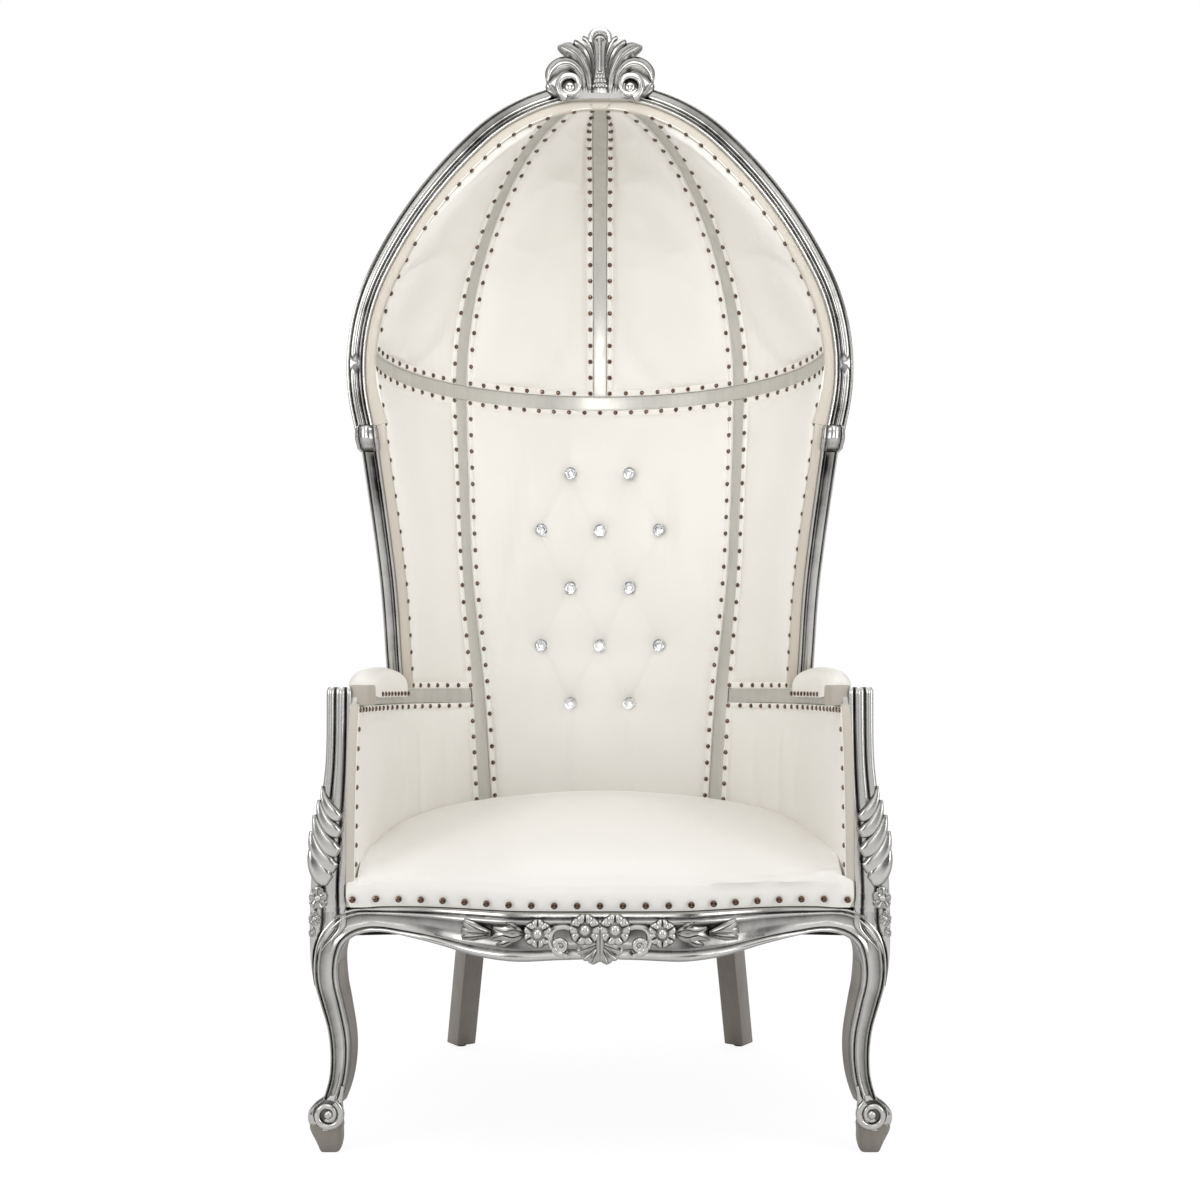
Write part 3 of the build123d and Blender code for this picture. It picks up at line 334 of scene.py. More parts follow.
def build(name, shells, finish, replaced=(), crease=40.0, merge=False):
    """One object of all the skins, smooth except at edges sharper than crease degrees."""
    points, faces, tones, count = [], [], [], 0
    for v, f, tone in shells:
        points.append(v * 0.001)
        faces += [[i + count for i in face] for face in f]
        tones.append(tone)
        count += len(v)
    mesh = bpy.data.meshes.new(name)
    mesh.from_pydata(np.concatenate(points).tolist(), [], faces)
    mesh.attributes.new("tone", "FLOAT", "POINT").data.foreach_set("value", np.concatenate(tones))
    if merge:
        work = bmesh.new()
        work.from_mesh(mesh)
        bmesh.ops.remove_doubles(work, verts=work.verts, dist=1e-5)
        work.to_mesh(mesh)
        work.free()
    face_out(mesh)
    mesh.polygons.foreach_set("use_smooth", np.ones(len(mesh.polygons), bool))
    mesh.set_sharp_from_angle(angle=np.radians(crease))
    mesh.materials.append(finish)
    piece = bpy.data.objects.new(name, mesh)
    bpy.context.scene.collection.objects.link(piece)
    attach(piece, "root")
    if replaced:
        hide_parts(*replaced)
    return piece


def face_out(mesh):
    """Turns every closed skin's faces outwards."""
    work = bmesh.new()
    work.from_mesh(mesh)
    bmesh.ops.recalc_face_normals(work, faces=work.faces)
    work.to_mesh(mesh)
    work.free()


def moulded(outer_front, inner_front, inner_back, outer_back, profile, fill=None, shade=None):
    """A moulding carried along four edge lines.

    Its front runs from the outer line to the inner one and rises by the profile's
    (share, rise, tone); fill, from 0 to 1 at each station, closes the profile's hollows,
    and shade adds painted shade to its field: a darker colour standing in for shade.
    """
    share, rise, tone = np.asarray(profile, float).T
    forward = turned((outer_front + inner_front) - (outer_back + inner_back))
    height = np.broadcast_to(rise, (len(outer_front), len(rise)))
    dark = np.broadcast_to(tone, height.shape)
    if fill is not None:
        hollow = ((share > 0.2) & (share < 0.66))[None]
        height = np.where(hollow, height + (1.5 - height) * fill[:, None], height)
        dark = np.where(hollow, dark * (1 - fill[:, None]), dark)
    # Painted shade: darkens the field's colour between its beads.
    if shade is not None:
        field = ((share > 0.2) & (share < 0.75))[None]
        dark = np.clip(dark + shade[:, None] * field, 0, 1)
    front = outer_front[:, None] + (inner_front - outer_front)[:, None] * share[None, :, None]
    front = front + forward[:, None] * height[..., None]
    rings = np.concatenate([front, inner_back[:, None], outer_back[:, None]], 1)
    dark = np.concatenate([dark, np.full((len(dark), 2), 0.25)], 1)
    return tube(rings, dark)


def rod(path, radius, sides=8, flat=1.0, tone=0.0):
    """Round bar along a path: circles square to it, of a radius at each place."""
    path = np.asarray(path, float)
    radius = np.broadcast_to(radius, len(path))
    along = turned(np.gradient(path, axis=0))
    up = np.where(np.abs(along[:, 1:2]) < 0.8, [[0.0, 1.0, 0.0]], [[1.0, 0.0, 0.0]])
    side = turned(np.cross(along, up))
    out = np.cross(side, along)
    turn = np.linspace(0, 2 * np.pi, sides, endpoint=False)
    ring = side[:, None] * np.cos(turn)[None, :, None] + out[:, None] * np.sin(turn)[None, :, None] * flat
    return tube(path[:, None] + ring * radius[:, None, None], tone)


def ball(centre, radius, facing=(0, -1, 0), height=1.0, rows=7, sides=14, tone=0.0):
    """Upper half of a flattened ball on a plane through its middle, closed below."""
    facing = turned(np.asarray(facing, float))
    helper = np.array([0.0, 0.0, 1.0]) if abs(facing[2]) < 0.8 else np.array([1.0, 0.0, 0.0])
    side = turned(np.cross(helper, facing))
    up = np.cross(facing, side)
    lift = np.linspace(-0.25, 0.97, rows) * np.pi / 2
    turn = np.linspace(0, 2 * np.pi, sides, endpoint=False)
    flat = side * np.cos(turn)[:, None] + up * np.sin(turn)[:, None]
    rings = np.cos(lift)[:, None, None] * flat[None] + np.sin(lift)[:, None, None] * facing * height
    return tube(np.asarray(centre, float) + rings * radius, tone)


def blade(spine, widths, relief, facing=(0, -1, 0), flutes=2, curl=0.0, base=2.0, count=18, crease=0.35):
    """Carved leaf along a spine of points.

    Across it, v from -1 to 1, the face rises by relief * (1 - v^4) / 2 less a crease in its
    middle, with cosine flutes; along it the tip lifts by curl.
    """
    line = smooth_line(spine, count)
    wide = smooth_line([(w, 0) for w in widths], count)[:, 0]
    facing = turned(np.asarray(facing, float))
    along = turned(np.gradient(line, axis=0))
    side = turned(np.cross(along, facing[None]))
    v = np.linspace(-1, 1, 13)
    t = np.linspace(0, 1, count)
    body = np.sqrt(np.clip(np.sin(np.pi * np.clip(t * 0.94 + 0.06, 0, 1)), 0.02, 1))
    swell = (1 - v**4) * 0.75 - crease * np.exp(-((v / 0.14) ** 2)) + 0.16 * np.cos(flutes * 2 * np.pi * v)
    rise = relief * body[:, None] * swell[None] + curl * t[:, None] ** 2
    front = line[:, None] + side[:, None] * (wide[:, None] * v[None])[..., None] + facing * rise[..., None]
    back = line[:, None] + side[:, None] * (wide[:, None] * v[None] * 0.9)[..., None] - facing * base
    hollow = 2.6 * crease * np.exp(-((v / 0.16) ** 2)) + 0.95 * ease((np.abs(v) - 0.58) / 0.38)
    hollow = hollow + 0.45 * (np.cos(flutes * 2 * np.pi * v) < -0.3)
    tone = np.clip(hollow[None] * (1 - 0.35 * t[:, None]) + 0.45 * (t[:, None] < 0.12), 0, 1)
    return pad(front, back, tone)


def scroll(centre, outer, inner, start, end, thick, plane_depth=0.0, squash=1.0):
    """Raised spiral: its radius falls evenly from outer to inner as it turns, as it thins."""
    turn = np.radians(np.linspace(start, end, 64))
    share = np.linspace(0, 1, 64)
    reach = outer + (inner - outer) * share
    x, z = centre[0] + reach * np.cos(turn), centre[1] + reach * np.sin(turn) * squash
    path = at(x, plane_depth, z)
    return rod(path, thick * (1 - 0.45 * share), sides=10, tone=0.0)


# ---------------------------------------------------------------- finishes


def finish(name, colour, metal=0.0, rough=0.5, **sockets):
    """Node material with one Principled shader; returns it with its tree's helpers."""
    material = bpy.data.materials.new(name)
    material.use_nodes = True
    tree = material.node_tree
    shader = tree.nodes["Principled BSDF"]
    shader.inputs["Base Color"].default_value = (*colour, 1)
    shader.inputs["Metallic"].default_value = metal
    shader.inputs["Roughness"].default_value = rough
    for key, value in sockets.items():
        shader.inputs[key.replace("_", " ")].default_value = value
    return material, tree, shader


def node(tree, kind, inputs=None, **settings):
    """Adds a node with its settings and its unlinked or linked inputs."""
    new = tree.nodes.new(kind)
    for key, value in settings.items():
        setattr(new, key, value)
    for key, value in (inputs or {}).items():
        if isinstance(value, bpy.types.NodeSocket):
            tree.links.new(value, new.inputs[key])
        else:
            new.inputs[key].default_value = value
    return new


def noise(tree, scale, detail=4.0, rough=0.55, stretch=(1, 1, 1)):
    """Noise on the object's own coordinates, stretched along an axis if asked."""
    place = node(tree, "ShaderNodeTexCoord").outputs["Object"]
    spread = node(tree, "ShaderNodeMapping", {"Vector": place, "Scale": stretch})
    inputs = {"Vector": spread.outputs[0], "Scale": scale, "Detail": detail, "Roughness": rough}
    return node(tree, "ShaderNodeTexNoise", inputs).outputs["Fac"]


def between(tree, value, low, high, to_low, to_high):
    """Maps a value from one range to another, clamped."""
    inputs = {"Value": value, "From Min": low, "From Max": high, "To Min": to_low, "To Max": to_high}
    return node(tree, "ShaderNodeMapRange", inputs).outputs[0]


def blend(tree, share, first, second):
    """Mix of two colours."""
    mix = node(tree, "ShaderNodeMix", data_type="RGBA")
    for key, value in ((0, share), (6, first), (7, second)):
        if isinstance(value, bpy.types.NodeSocket):
            tree.links.new(value, mix.inputs[key])
        else:
            mix.inputs[key].default_value = (*value, 1) if isinstance(value, tuple) else value
    return mix.outputs[2]


def relief(tree, shader, height, distance, strength=1.0, below=None):
    """Bump from a height in metres-like units of distance."""
    inputs = {"Height": height, "Distance": distance, "Strength": strength}
    if below is not None:
        inputs["Normal"] = below
    bump = node(tree, "ShaderNodeBump", inputs)
    tree.links.new(bump.outputs[0], shader.inputs["Normal"])
    return bump.outputs[0]


def silver_leaf(name, bright, dark, rough, coat=0.0):
    """Antique silver: bright on the ridges, dark and a little brown in the carving's hollows and where the tone
    attribute carries painted shade.
    """
    material, tree, shader = finish(name, bright, 1.0, rough, Coat_Weight=coat, Coat_Roughness=0.06)
    tone = node(tree, "ShaderNodeAttribute", attribute_name="tone").outputs["Fac"]
    patina = noise(tree, 26.0, 5.0, 0.6)
    fine = noise(tree, 420.0, 3.0)
    # Tone darkens the base colour: the carving's darker hollows, plus painted shade from the mouldings' shade and the
    # flat dark discs.
    hollow_dark_and_painted_shade = node(tree, "ShaderNodeMath", {0: tone, 1: between(tree, patina, 0.35, 0.7, 0.75, 1.1)}, operation="MULTIPLY")
    cloudy = blend(tree, between(tree, patina, 0.4, 0.75, 0.0, 0.35), bright, tuple(c * 0.72 for c in bright))
    tree.links.new(blend(tree, hollow_dark_and_painted_shade.outputs[0], cloudy, dark), shader.inputs["Base Color"])
    tree.links.new(between(tree, patina, 0.3, 0.7, rough - 0.05, rough + 0.1), shader.inputs["Roughness"])
    relief(tree, shader, fine, 0.0002, 0.12)
    return material


def faux_leather(name, colour, rough=0.42):
    """Smooth coated cloth: cells of a millimetre, faint clouding and a soft gloss."""
    material, tree, shader = finish(name, colour, rough=rough, Coat_Weight=0.12, Coat_Roughness=0.35)
    cloud = noise(tree, 6.0, 3.0)
    tree.links.new(
        blend(tree, between(tree, cloud, 0.3, 0.7, 0.0, 1.0), colour, tuple(c * 0.965 for c in colour)),
        shader.inputs["Base Color"],
    )
    place = node(tree, "ShaderNodeTexCoord").outputs["Object"]
    cells = node(
        tree, "ShaderNodeTexVoronoi", {"Vector": place, "Scale": 620.0}, feature="DISTANCE_TO_EDGE"
    ).outputs["Distance"]
    slack = noise(tree, 38.0, 4.0)
    base = relief(tree, shader, slack, 0.0012, 0.35)
    relief(tree, shader, between(tree, cells, 0.0, 0.25, 0.0, 1.0), 0.00012, 0.5, below=base)
    tree.links.new(between(tree, cloud, 0.3, 0.7, rough - 0.04, rough + 0.05), shader.inputs["Roughness"])
    return material


def brushed_paint(name, colour, metal, rough, stretch):
    """Painted flat bands and legs: fine streaks along the piece under a satin gloss."""
    material, tree, shader = finish(name, colour, metal=metal, rough=rough)
    streak = noise(tree, 60.0, 5.0, 0.7, stretch)
    cloud = noise(tree, 9.0, 3.0)
    darker = tuple(c * 0.86 for c in colour)
    shade = blend(tree, between(tree, streak, 0.3, 0.7, 0.0, 1.0), colour, darker)
    shade_again = node(tree, "ShaderNodeMix", data_type="RGBA")
    tree.links.new(between(tree, cloud, 0.35, 0.7, 0.0, 0.3), shade_again.inputs[0])
    tree.links.new(shade, shade_again.inputs[6])
    shade_again.inputs[7].default_value = (*(c * 0.8 for c in colour), 1)
    tree.links.new(shade_again.outputs[2], shader.inputs["Base Color"])
    tree.links.new(between(tree, streak, 0.3, 0.7, rough - 0.05, rough + 0.08), shader.inputs["Roughness"])
    relief(tree, shader, streak, 0.0003, 0.25)
    return material


def plain_cloth(name, colour, scale):
    """Matt cloth with a fine woven check."""
    material, tree, shader = finish(name, colour, rough=0.9)
    place = node(tree, "ShaderNodeTexCoord").outputs["Object"]
    check = node(tree, "ShaderNodeTexChecker", {"Vector": place, "Scale": scale}).outputs["Fac"]
    lighter = tuple(min(c * 1.5 + 0.01, 1) for c in colour)
    tree.links.new(blend(tree, check, colour, lighter), shader.inputs["Base Color"])
    relief(tree, shader, check, 0.0002, 0.5)
    return material


SILVER = silver_leaf("antique_silver", (0.63, 0.622, 0.605), (0.02, 0.017, 0.014), 0.19)
FLAT_SILVER = brushed_paint("flat_silver", (0.615, 0.605, 0.562), 0.5, 0.4, (1, 1, 0.12))
LEG_PAINT = brushed_paint("pewter_paint", (0.29, 0.262, 0.235), 0.45, 0.33, (1, 1, 0.1))
LEATHER = faux_leather("cream_leather", (0.87, 0.848, 0.8))
EDGING = faux_leather("greige_edging", (0.57, 0.525, 0.45), 0.5)
# A darker copy of the greige edging: painted shade on the arm's front ends.
ARM_END_PAINTED_SHADE = faux_leather("arm_end_painted_shade", (0.43, 0.395, 0.34), 0.5)
BRONZE = silver_leaf("nail_bronze", (0.13, 0.075, 0.042), (0.012, 0.008, 0.006), 0.12, coat=0.8)
FOIL = silver_leaf("button_foil", (0.75, 0.76, 0.78), (0.1, 0.1, 0.1), 0.08)
GLIDE = plain_cloth("glide_felt", (0.03, 0.027, 0.025), 900.0)
DUST_CLOTH = plain_cloth("dust_cloth", (0.02, 0.02, 0.02), 700.0)
PLYWOOD = brushed_paint("bare_timber", (0.5, 0.36, 0.22), 0.0, 0.6, (1, 0.1, 1))
CRYSTAL, _tree, _shader = finish("cut_glass", (0.97, 0.98, 1.0), rough=0.0, Transmission_Weight=1.0, IOR=1.6)
_polish = noise(_tree, 300.0, 3.0)
_tree.links.new(blend(_tree, _polish, (0.99, 0.995, 1.0), (0.93, 0.95, 0.98)), _shader.inputs["Base Color"])
_tree.links.new(between(_tree, _polish, 0.3, 0.8, 0.0, 0.06), _shader.inputs["Roughness"])
relief(_tree, _shader, _polish, 0.0001, 0.2)

# ---------------------------------------------------------------- soft panels


def edge_shares(length, step, fine=True):
    """Places from 0 to 1 along a panel: close together over its flange, then evenly spaced."""
    edge = [0, 0.7, 1.8, 4, 6.5, 8.3, 9.6, 10.8, 12.2, 14.5, 18, 23] if fine else [0, 3, 8, 14, 22]
    inner = np.linspace(edge[-1], length - edge[-1], max(int((length - 2 * edge[-1]) / step), 4))
    places = np.concatenate([edge[:-1], inner, length - np.array(edge[:-1])[::-1]])
    return places / length


def pillow(u, v, crown):
    """Crown of a panel: crown * (1 - (2u - 1)^4) * (1 - (2v - 1)^4)."""
    return crown * (1 - (2 * u - 1) ** 4)[:, None] * (1 - (2 * v - 1) ** 4)[None]


def flange(grid, pitch=29.0):
    """Rise of a panel's nailed edge.

    e is the distance to the nearest side: a rounded flange up to 9 mm, a tight groove
    behind it, and between the nails the cover puckers by a cosine that dies away inwards.
    """
    along = np.linalg.norm(np.diff(grid, axis=0), axis=-1)
    across = np.linalg.norm(np.diff(grid, axis=1), axis=-1)
    su = np.concatenate([np.zeros((1, grid.shape[1])), np.cumsum(along, 0)])
    sv = np.concatenate([np.zeros((grid.shape[0], 1)), np.cumsum(across, 1)], 1)
    eu, ev = np.minimum(su, su[-1:] - su), np.minimum(sv, sv[:, -1:] - sv)
    edge = np.minimum(eu, ev)
    beside = np.where(eu < ev, sv, su)
    rounded = 1.1 * np.sqrt(np.clip(edge / 2.2, 0, 1)) * (1 - ease((edge - FLANGE + 2) / 4))
    groove = -1.5 * np.exp(-(((edge - 10.6) / 1.7) ** 2))
    pucker = 0.9 * np.exp(-np.maximum(edge - 11, 0) / 16) * ease((edge - 9) / 4)
    pucker = pucker * (0.5 - 0.5 * np.cos(2 * np.pi * beside / pitch)) - pucker * 0.6
    return rounded + groove + pucker, edge


def inflate(front, held, pressure, cap):
    """Cloth under air pressure, worked out on every third line of a grid of points.

    Held points stay and no point moves more than cap millimetres; the change is read back
    on straight lines between the coarse points.
    """
    rows, columns = (np.unique(np.append(np.arange(0, n, 3), n - 1)) for n in front.shape[:2])
    coarse = front[rows][:, columns] * 0.001
    mesh = bpy.data.meshes.new("test_cloth")
    mesh.from_pydata(coarse.reshape(-1, 3).tolist(), [], grid_faces(len(rows), len(columns)).tolist())
    piece = bpy.data.objects.new("test_cloth", mesh)
    bpy.context.scene.collection.objects.link(piece)
    group = piece.vertex_groups.new(name="held")
    group.add(np.flatnonzero(held[rows][:, columns]).tolist(), 1.0, "REPLACE")
    setup = piece.modifiers.new("cloth", "CLOTH").settings
    setup.quality = 4
    setup.mass = 0.25
    setup.tension_stiffness = setup.compression_stiffness = 18
    setup.shear_stiffness = 8
    setup.bending_stiffness = 1.5
    setup.use_pressure = True
    setup.uniform_pressure_force = pressure
    setup.vertex_group_mass = "held"
    setup.effector_weights.gravity = 0
    piece.modifiers["cloth"].collision_settings.use_collision = False
    piece.modifiers["cloth"].point_cache.frame_end = 20
    for step in range(1, 21):
        bpy.context.scene.frame_set(step)
    moved = np.empty(coarse.size)
    shape = piece.evaluated_get(bpy.context.evaluated_depsgraph_get())
    shape.data.vertices.foreach_get("co", moved)
    change = np.nan_to_num(moved.reshape(coarse.shape) - coarse) * 1000
    bpy.data.objects.remove(piece)
    bpy.data.meshes.remove(mesh)
    bpy.context.scene.frame_set(1)
    size = np.linalg.norm(change, axis=-1, keepdims=True)
    change *= cap * np.tanh(size / cap) / np.maximum(size, 1e-9)
    n, m = front.shape[:2]
    wide = np.stack([[np.interp(np.arange(m), columns, row[:, i]) for row in change] for i in range(3)], -1)
    full = np.stack([[np.interp(np.arange(n), rows, wide[:, j, i]) for j in range(m)] for i in range(3)], -1)
    return front + full.transpose(1, 0, 2) * ~held[..., None]


def opposite(piece, name, replaced):
    """The mirror image of a finished piece."""
    mesh = piece.data.copy()
    mesh.name = name
    points = np.empty(len(mesh.vertices) * 3)
    mesh.vertices.foreach_get("co", points)
    mesh.vertices.foreach_set("co", (points.reshape(-1, 3) * [-1, 1, 1]).reshape(-1))
    face_out(mesh)
    other = bpy.data.objects.new(name, mesh)
    bpy.context.scene.collection.objects.link(other)
    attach(other, "root")
    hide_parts(*replaced)
    return other


NAIL_SPOTS = []


def nails_round(grid, out, edge_offset, pitch, sides="lrbt", lift=4.2, mirror=True):
    """Nail places along the sides of a panel, edge_offset in from them, every pitch."""
    for side in sides:
        line = {"l": grid[:, 0], "r": grid[:, -1], "b": grid[0], "t": grid[-1]}[side]
        inner = {"l": grid[:, 1:], "r": grid[:, -2::-1], "b": grid[1:].transpose(1, 0, 2), "t": grid[-2::-1].transpose(1, 0, 2)}[side]
        normal = {"l": out[:, 0], "r": out[:, -1], "b": out[0], "t": out[-1]}[side]
        inward = turned(inner[:, 6] - line)
        length = np.concatenate([[0], np.cumsum(np.linalg.norm(np.diff(line, axis=0), axis=1))])
        count = max(int(round((length[-1] - 2 * edge_offset) / pitch)), 1)
        spots = np.linspace(edge_offset, length[-1] - edge_offset, count + 1)
        if side in "bt":
            spots = spots[1:-1]
        place = np.stack([np.interp(spots, length, line[:, i]) for i in range(3)], -1)
        step = np.stack([np.interp(spots, length, inward[:, i]) for i in range(3)], -1)
        facing = -np.stack([np.interp(spots, length, normal[:, i]) for i in range(3)], -1)
        spot = place + step * edge_offset + facing * lift
        NAIL_SPOTS.append((spot, turned(facing)))
        if mirror:
            NAIL_SPOTS.append((spot * [-1, 1, 1], turned(facing) * [-1, 1, 1]))


def soft_panel(name, place, lengths, crown, cap, replaced, shape=None, nail_sides="lrbt", pitch=29.0, pair=True, step=6.0):
    """A nailed, padded panel: its grid lifted off the wall by crown, flange and shape."""
    u, v = edge_shares(lengths[0], step), edge_shares(lengths[1], step)
    grid = place(u, v)
    out = outward(grid, (0, DEPTH_ZERO + 250, 900))
    rise, edge = flange(grid, pitch)
    inside = ease((edge - 9) / 14)
    front = grid - out * (PROUD + rise + pillow(u, v, crown) * inside)[..., None]
    front = inflate(front, edge < 11.5, 2.5, cap)
    if shape is not None:
        front = front + out * (shape(front) * ease((edge - 9) / 10))[..., None]
    piece = build(name, [pad(front, grid + out * 7.5)], LEATHER, replaced[:1], crease=60)
    nails_round(grid, out, 5.0, pitch, nail_sides, mirror=pair)
    if pair:
        opposite(piece, name.replace("left", "right"), replaced[1:])
    return piece


def tufting(points):
    """Depth of the buttoned back's tufts.

    Each button sinks the cover by a bell of 30 mm, diagonal creases join neighbouring
    buttons, and pleats run down from the lowest row and a little up from the highest.
    """
    x, z = points[..., 0], points[..., 2]
    sunk = np.zeros(x.shape)
    nearest = np.full(x.shape, 1e9)
    for bx, bz in BUTTONS:
        reach = np.hypot(x - bx, z - bz)
        nearest = np.minimum(nearest, reach)
        sunk += 12.0 * np.exp(-((reach / 24.0) ** 1.3))
    for i, (ax, az) in enumerate(BUTTONS):
        for bx, bz in BUTTONS[i + 1 :]:
            if abs(abs(ax - bx) - 52.7) < 1 and abs(az - bz) < 110:
                run, fall = bx - ax, bz - az
                t = np.clip(((x - ax) * run + (z - az) * fall) / (run**2 + fall**2), 0, 1)
                off = np.hypot(x - ax - run * t, z - az - fall * t)
                sunk += (1.3 + 3.0 * np.exp(-nearest / 22)) * np.exp(-((off / 4.5) ** 2))
    for bx in (-52.7, 52.7):
        down = ease((634 - z) / 30) * (1.6 - 0.8 * np.clip((634 - z) / 200, 0, 1))
        up = ease((z - 1050) / 20) * np.exp(-np.maximum(z - 1050, 0) / 30) * 2.2
        sunk += (down + up) * np.exp(-(((x - bx) / 4.0) ** 2))
    return sunk


def tub_edge(distance):
    return lambda height: rib_turn(height, distance)


FRONT_TURN = lambda height: np.full(np.shape(height), np.pi / 2)
BAND_BOTTOM, BAND_TOP = ARM_HEIGHT - BAND_WIDTH / 2, ARM_HEIGHT + BAND_WIDTH / 2
RING_BOTTOM, RING_TOP = RING_HEIGHT - BAND_WIDTH / 2, RING_HEIGHT + BAND_WIDTH / 2
at_frame = lambda height: turn_at_depth(height, frame_front(height) + 1.5)

soft_panel(
    "centre_back",
    wall_grid(TUB_FLOOR + 1, RING_BOTTOM - 0.8, lambda h: -rib_turn(h, -RIB_EDGE), tub_edge(-RIB_EDGE)),
    (819, 470),
    12.0,
    5.0,
    ("centre_back_panel",),
    shape=tufting,
    nail_sides="lrt",
    pair=False,
    step=4.6,
)
soft_panel(
    "side_panel_cover_left",
    wall_grid(BAND_TOP + 0.8, RING_BOTTOM - 0.8, tub_edge(RIB_EDGE), at_frame),
    (507, 300),
    12.0,
    5.0,
    ("side_panel_left", "side_panel_right"),
)
soft_panel(
    "arm_panel_cover_left",
    wall_grid(TUB_FLOOR + 1, BAND_BOTTOM - 0.8, tub_edge(RIB_EDGE), FRONT_TURN),
    (287, 590),
    7.0,
    4.0,
    ("arm_panel_left", "arm_panel_right"),
    nail_sides="lrt",
)
rib_shift = RIB_EDGE / np.cos(RIB_DIRECTION)
soft_panel(
    "dome_panel_inner_cover_left",
    dome_grid((BAND_WIDTH / 2 + 0.8, 0.0), (-rib_shift, RIB_DIRECTION)),
    (520, 225),
    12.0,
    5.0,
    ("dome_panel_inner_left", "dome_panel_inner_right"),
)
OUTER_LAST = RIB_DIRECTION + (LAST_DIRECTION - RIB_DIRECTION) * 0.93
soft_panel(
    "dome_panel_outer_cover_left",
    dome_grid((rib_shift, RIB_DIRECTION), (0.0, OUTER_LAST)),
    (480, 300),
    12.0,
    5.0,
    ("dome_panel_outer_left", "dome_panel_outer_right"),
)

# ---------------------------------------------------------------- seat


def seat_front(x):
    """Depth of the seat's front: the apron's bow, square with the posts at its ends."""
    bow = smooth_value(BOW_TABLE, np.abs(x) / APRON_END) * -APRON_BOW
    return bow + (2.0 - bow) * ease((np.abs(x) - 318) / 30)


def seat_surface(u, v):
    """The seat's cover over its plan, u across and v from front to back, both -1 to 1.

    It rises from the front by (1 - (1 - t)^2.2)^0.5 over 390 mm, and across from a share
    of 0.54 to 0.76 at its sides as a sine to the power 0.75. It rolls over in 45 mm at the
    back and falls 34 mm behind.
    """
    across, start, reach, square = plan(np.array(423.0))
    t = (np.sin(v * np.pi / 2) + 1)[None] / 2
    rear = start + reach - 16.0
    half = across - 6.0 + 14.5 * (1 - ease((t * 560 - 7) / 20))
    x = half * np.sin(u * np.pi / 2)[:, None]
    bow = seat_front(x)
    behind = LEG_DEPTH + (rear - LEG_DEPTH) * np.clip(1 - np.abs(x / half) ** square, 0, 1) ** (1 / square)
    depth = bow + 2.5 + (behind - bow - 2.5) * t
    steep = lambda s: np.sqrt(1 - (1 - np.clip(s, 0, 1)) ** 2.2)
    front = steep((depth - bow) / 390)
    edge = 0.54 + 0.22 * (1 - ease((depth - bow) / 220))
    side = edge + (1 - edge) * np.sin(np.clip(1 - np.abs(x) / half, 0, 1) * np.pi / 2) ** 0.75
    roll = 0.72 + 0.28 * steep((behind - depth) / 45)
    fall = np.clip((depth - bow - 390) / (rear - 390), 0, 1) ** 2
    z = TUB_FLOOR + 22 + (126 * front * side - 34 * fall * side) * roll
    return x, depth, z


BOW_TABLE = [(0, 1), (0.2, 0.99), (0.33, 0.9), (0.45, 0.5), (0.56, 0.06), (0.68, -0.3), (0.8, -0.42), (0.9, -0.35), (1, -0.2)]
_u = np.linspace(-1, 1, 120)
_v = np.linspace(-1, 1, 110)
_x, _d, _z = seat_surface(_u, _v)
_e = np.minimum(np.minimum(1 - np.abs(_u)[:, None], 1 - np.abs(_v)[None]) * 220, 60)
_skirt = (1 - ease(_e / 14)) ** 2
_z = _z - 19 * _skirt
top = at(_x, _d, _z)
middle = np.array([0, DEPTH_ZERO + 300, 0])
low = (top - middle) * [0.985, 0.985, 0] + middle + [0, 0, TUB_FLOOR + 0.6]
top = inflate(top, _e < 9, 3.0, 5.0)
seat = build("seat_cover", [pad(top, low)], LEATHER, ("seat_cushion",), crease=70)

# Nails along the seat's front, about 32 mm apart
_sx = np.linspace(-352, 352, 23)
_sd = seat_front(_sx) - 0.5
SEAT_NAILS = at(_sx, _sd, 358.5 + 3.5 * (np.abs(_sx) / 352) ** 2)


# ---------------------------------------------------------------- arm pads


def arm_pad_grid():
    """Loaf over the arm rail: half a superellipse across, its two ends rolled down."""
    t = np.linspace(0, 1, 60)
    turn = np.linspace(0, np.pi, 30)
    heights = np.full(60, 665.0)
    centre = turn_at_depth(heights, 98.0) * (1 - t) + turn_at_depth(heights, 347.0) * t
    fine = np.linspace(0, 1, 60)
    x, depth = wall(heights, centre)
    line = at(x, depth, 661.6)
    along = turned(np.gradient(line, axis=0))
    out = turned(np.cross(along, [0, 0, 1.0]))
    out *= np.sign(out[:, :1])
    end = np.clip(1 - np.abs(2 * fine - 1), 0, 1)
    roll = np.sqrt(np.clip(1 - (1 - np.clip(end / 0.28, 0, 1)) ** 2, 0.0, 1))
    arc = np.sqrt(1 - (1 - end) ** 2)
    wide, high = 23.5 * (0.3 + 0.7 * roll), 33.5 * (0.22 + 0.3 * roll + 0.48 * arc)
    c, s = np.cos(turn), np.sin(turn)
    across = np.sign(c) * np.abs(c) ** 0.97
    up = np.abs(s) ** 0.9
    centre_line = line + out * 11.0
    ring = centre_line[:, None] + out[:, None] * (wide[:, None] * across[None])[..., None]
    ring = ring + np.array([0, 0, 1.0]) * (high[:, None] * up[None])[..., None]
    down = np.array([0, 0, -1.0]) * roll[:, None]
    skirt = [ring[:, -1] + down * 5, ring[:, -1] + down * 13.5]
    skirt += [ring[:, -1] + down * 13.5 + out * 2.5, ring[:, -1] + out * 3]
    return np.concatenate([ring, np.stack(skirt, 1)], 1), centre_line, out


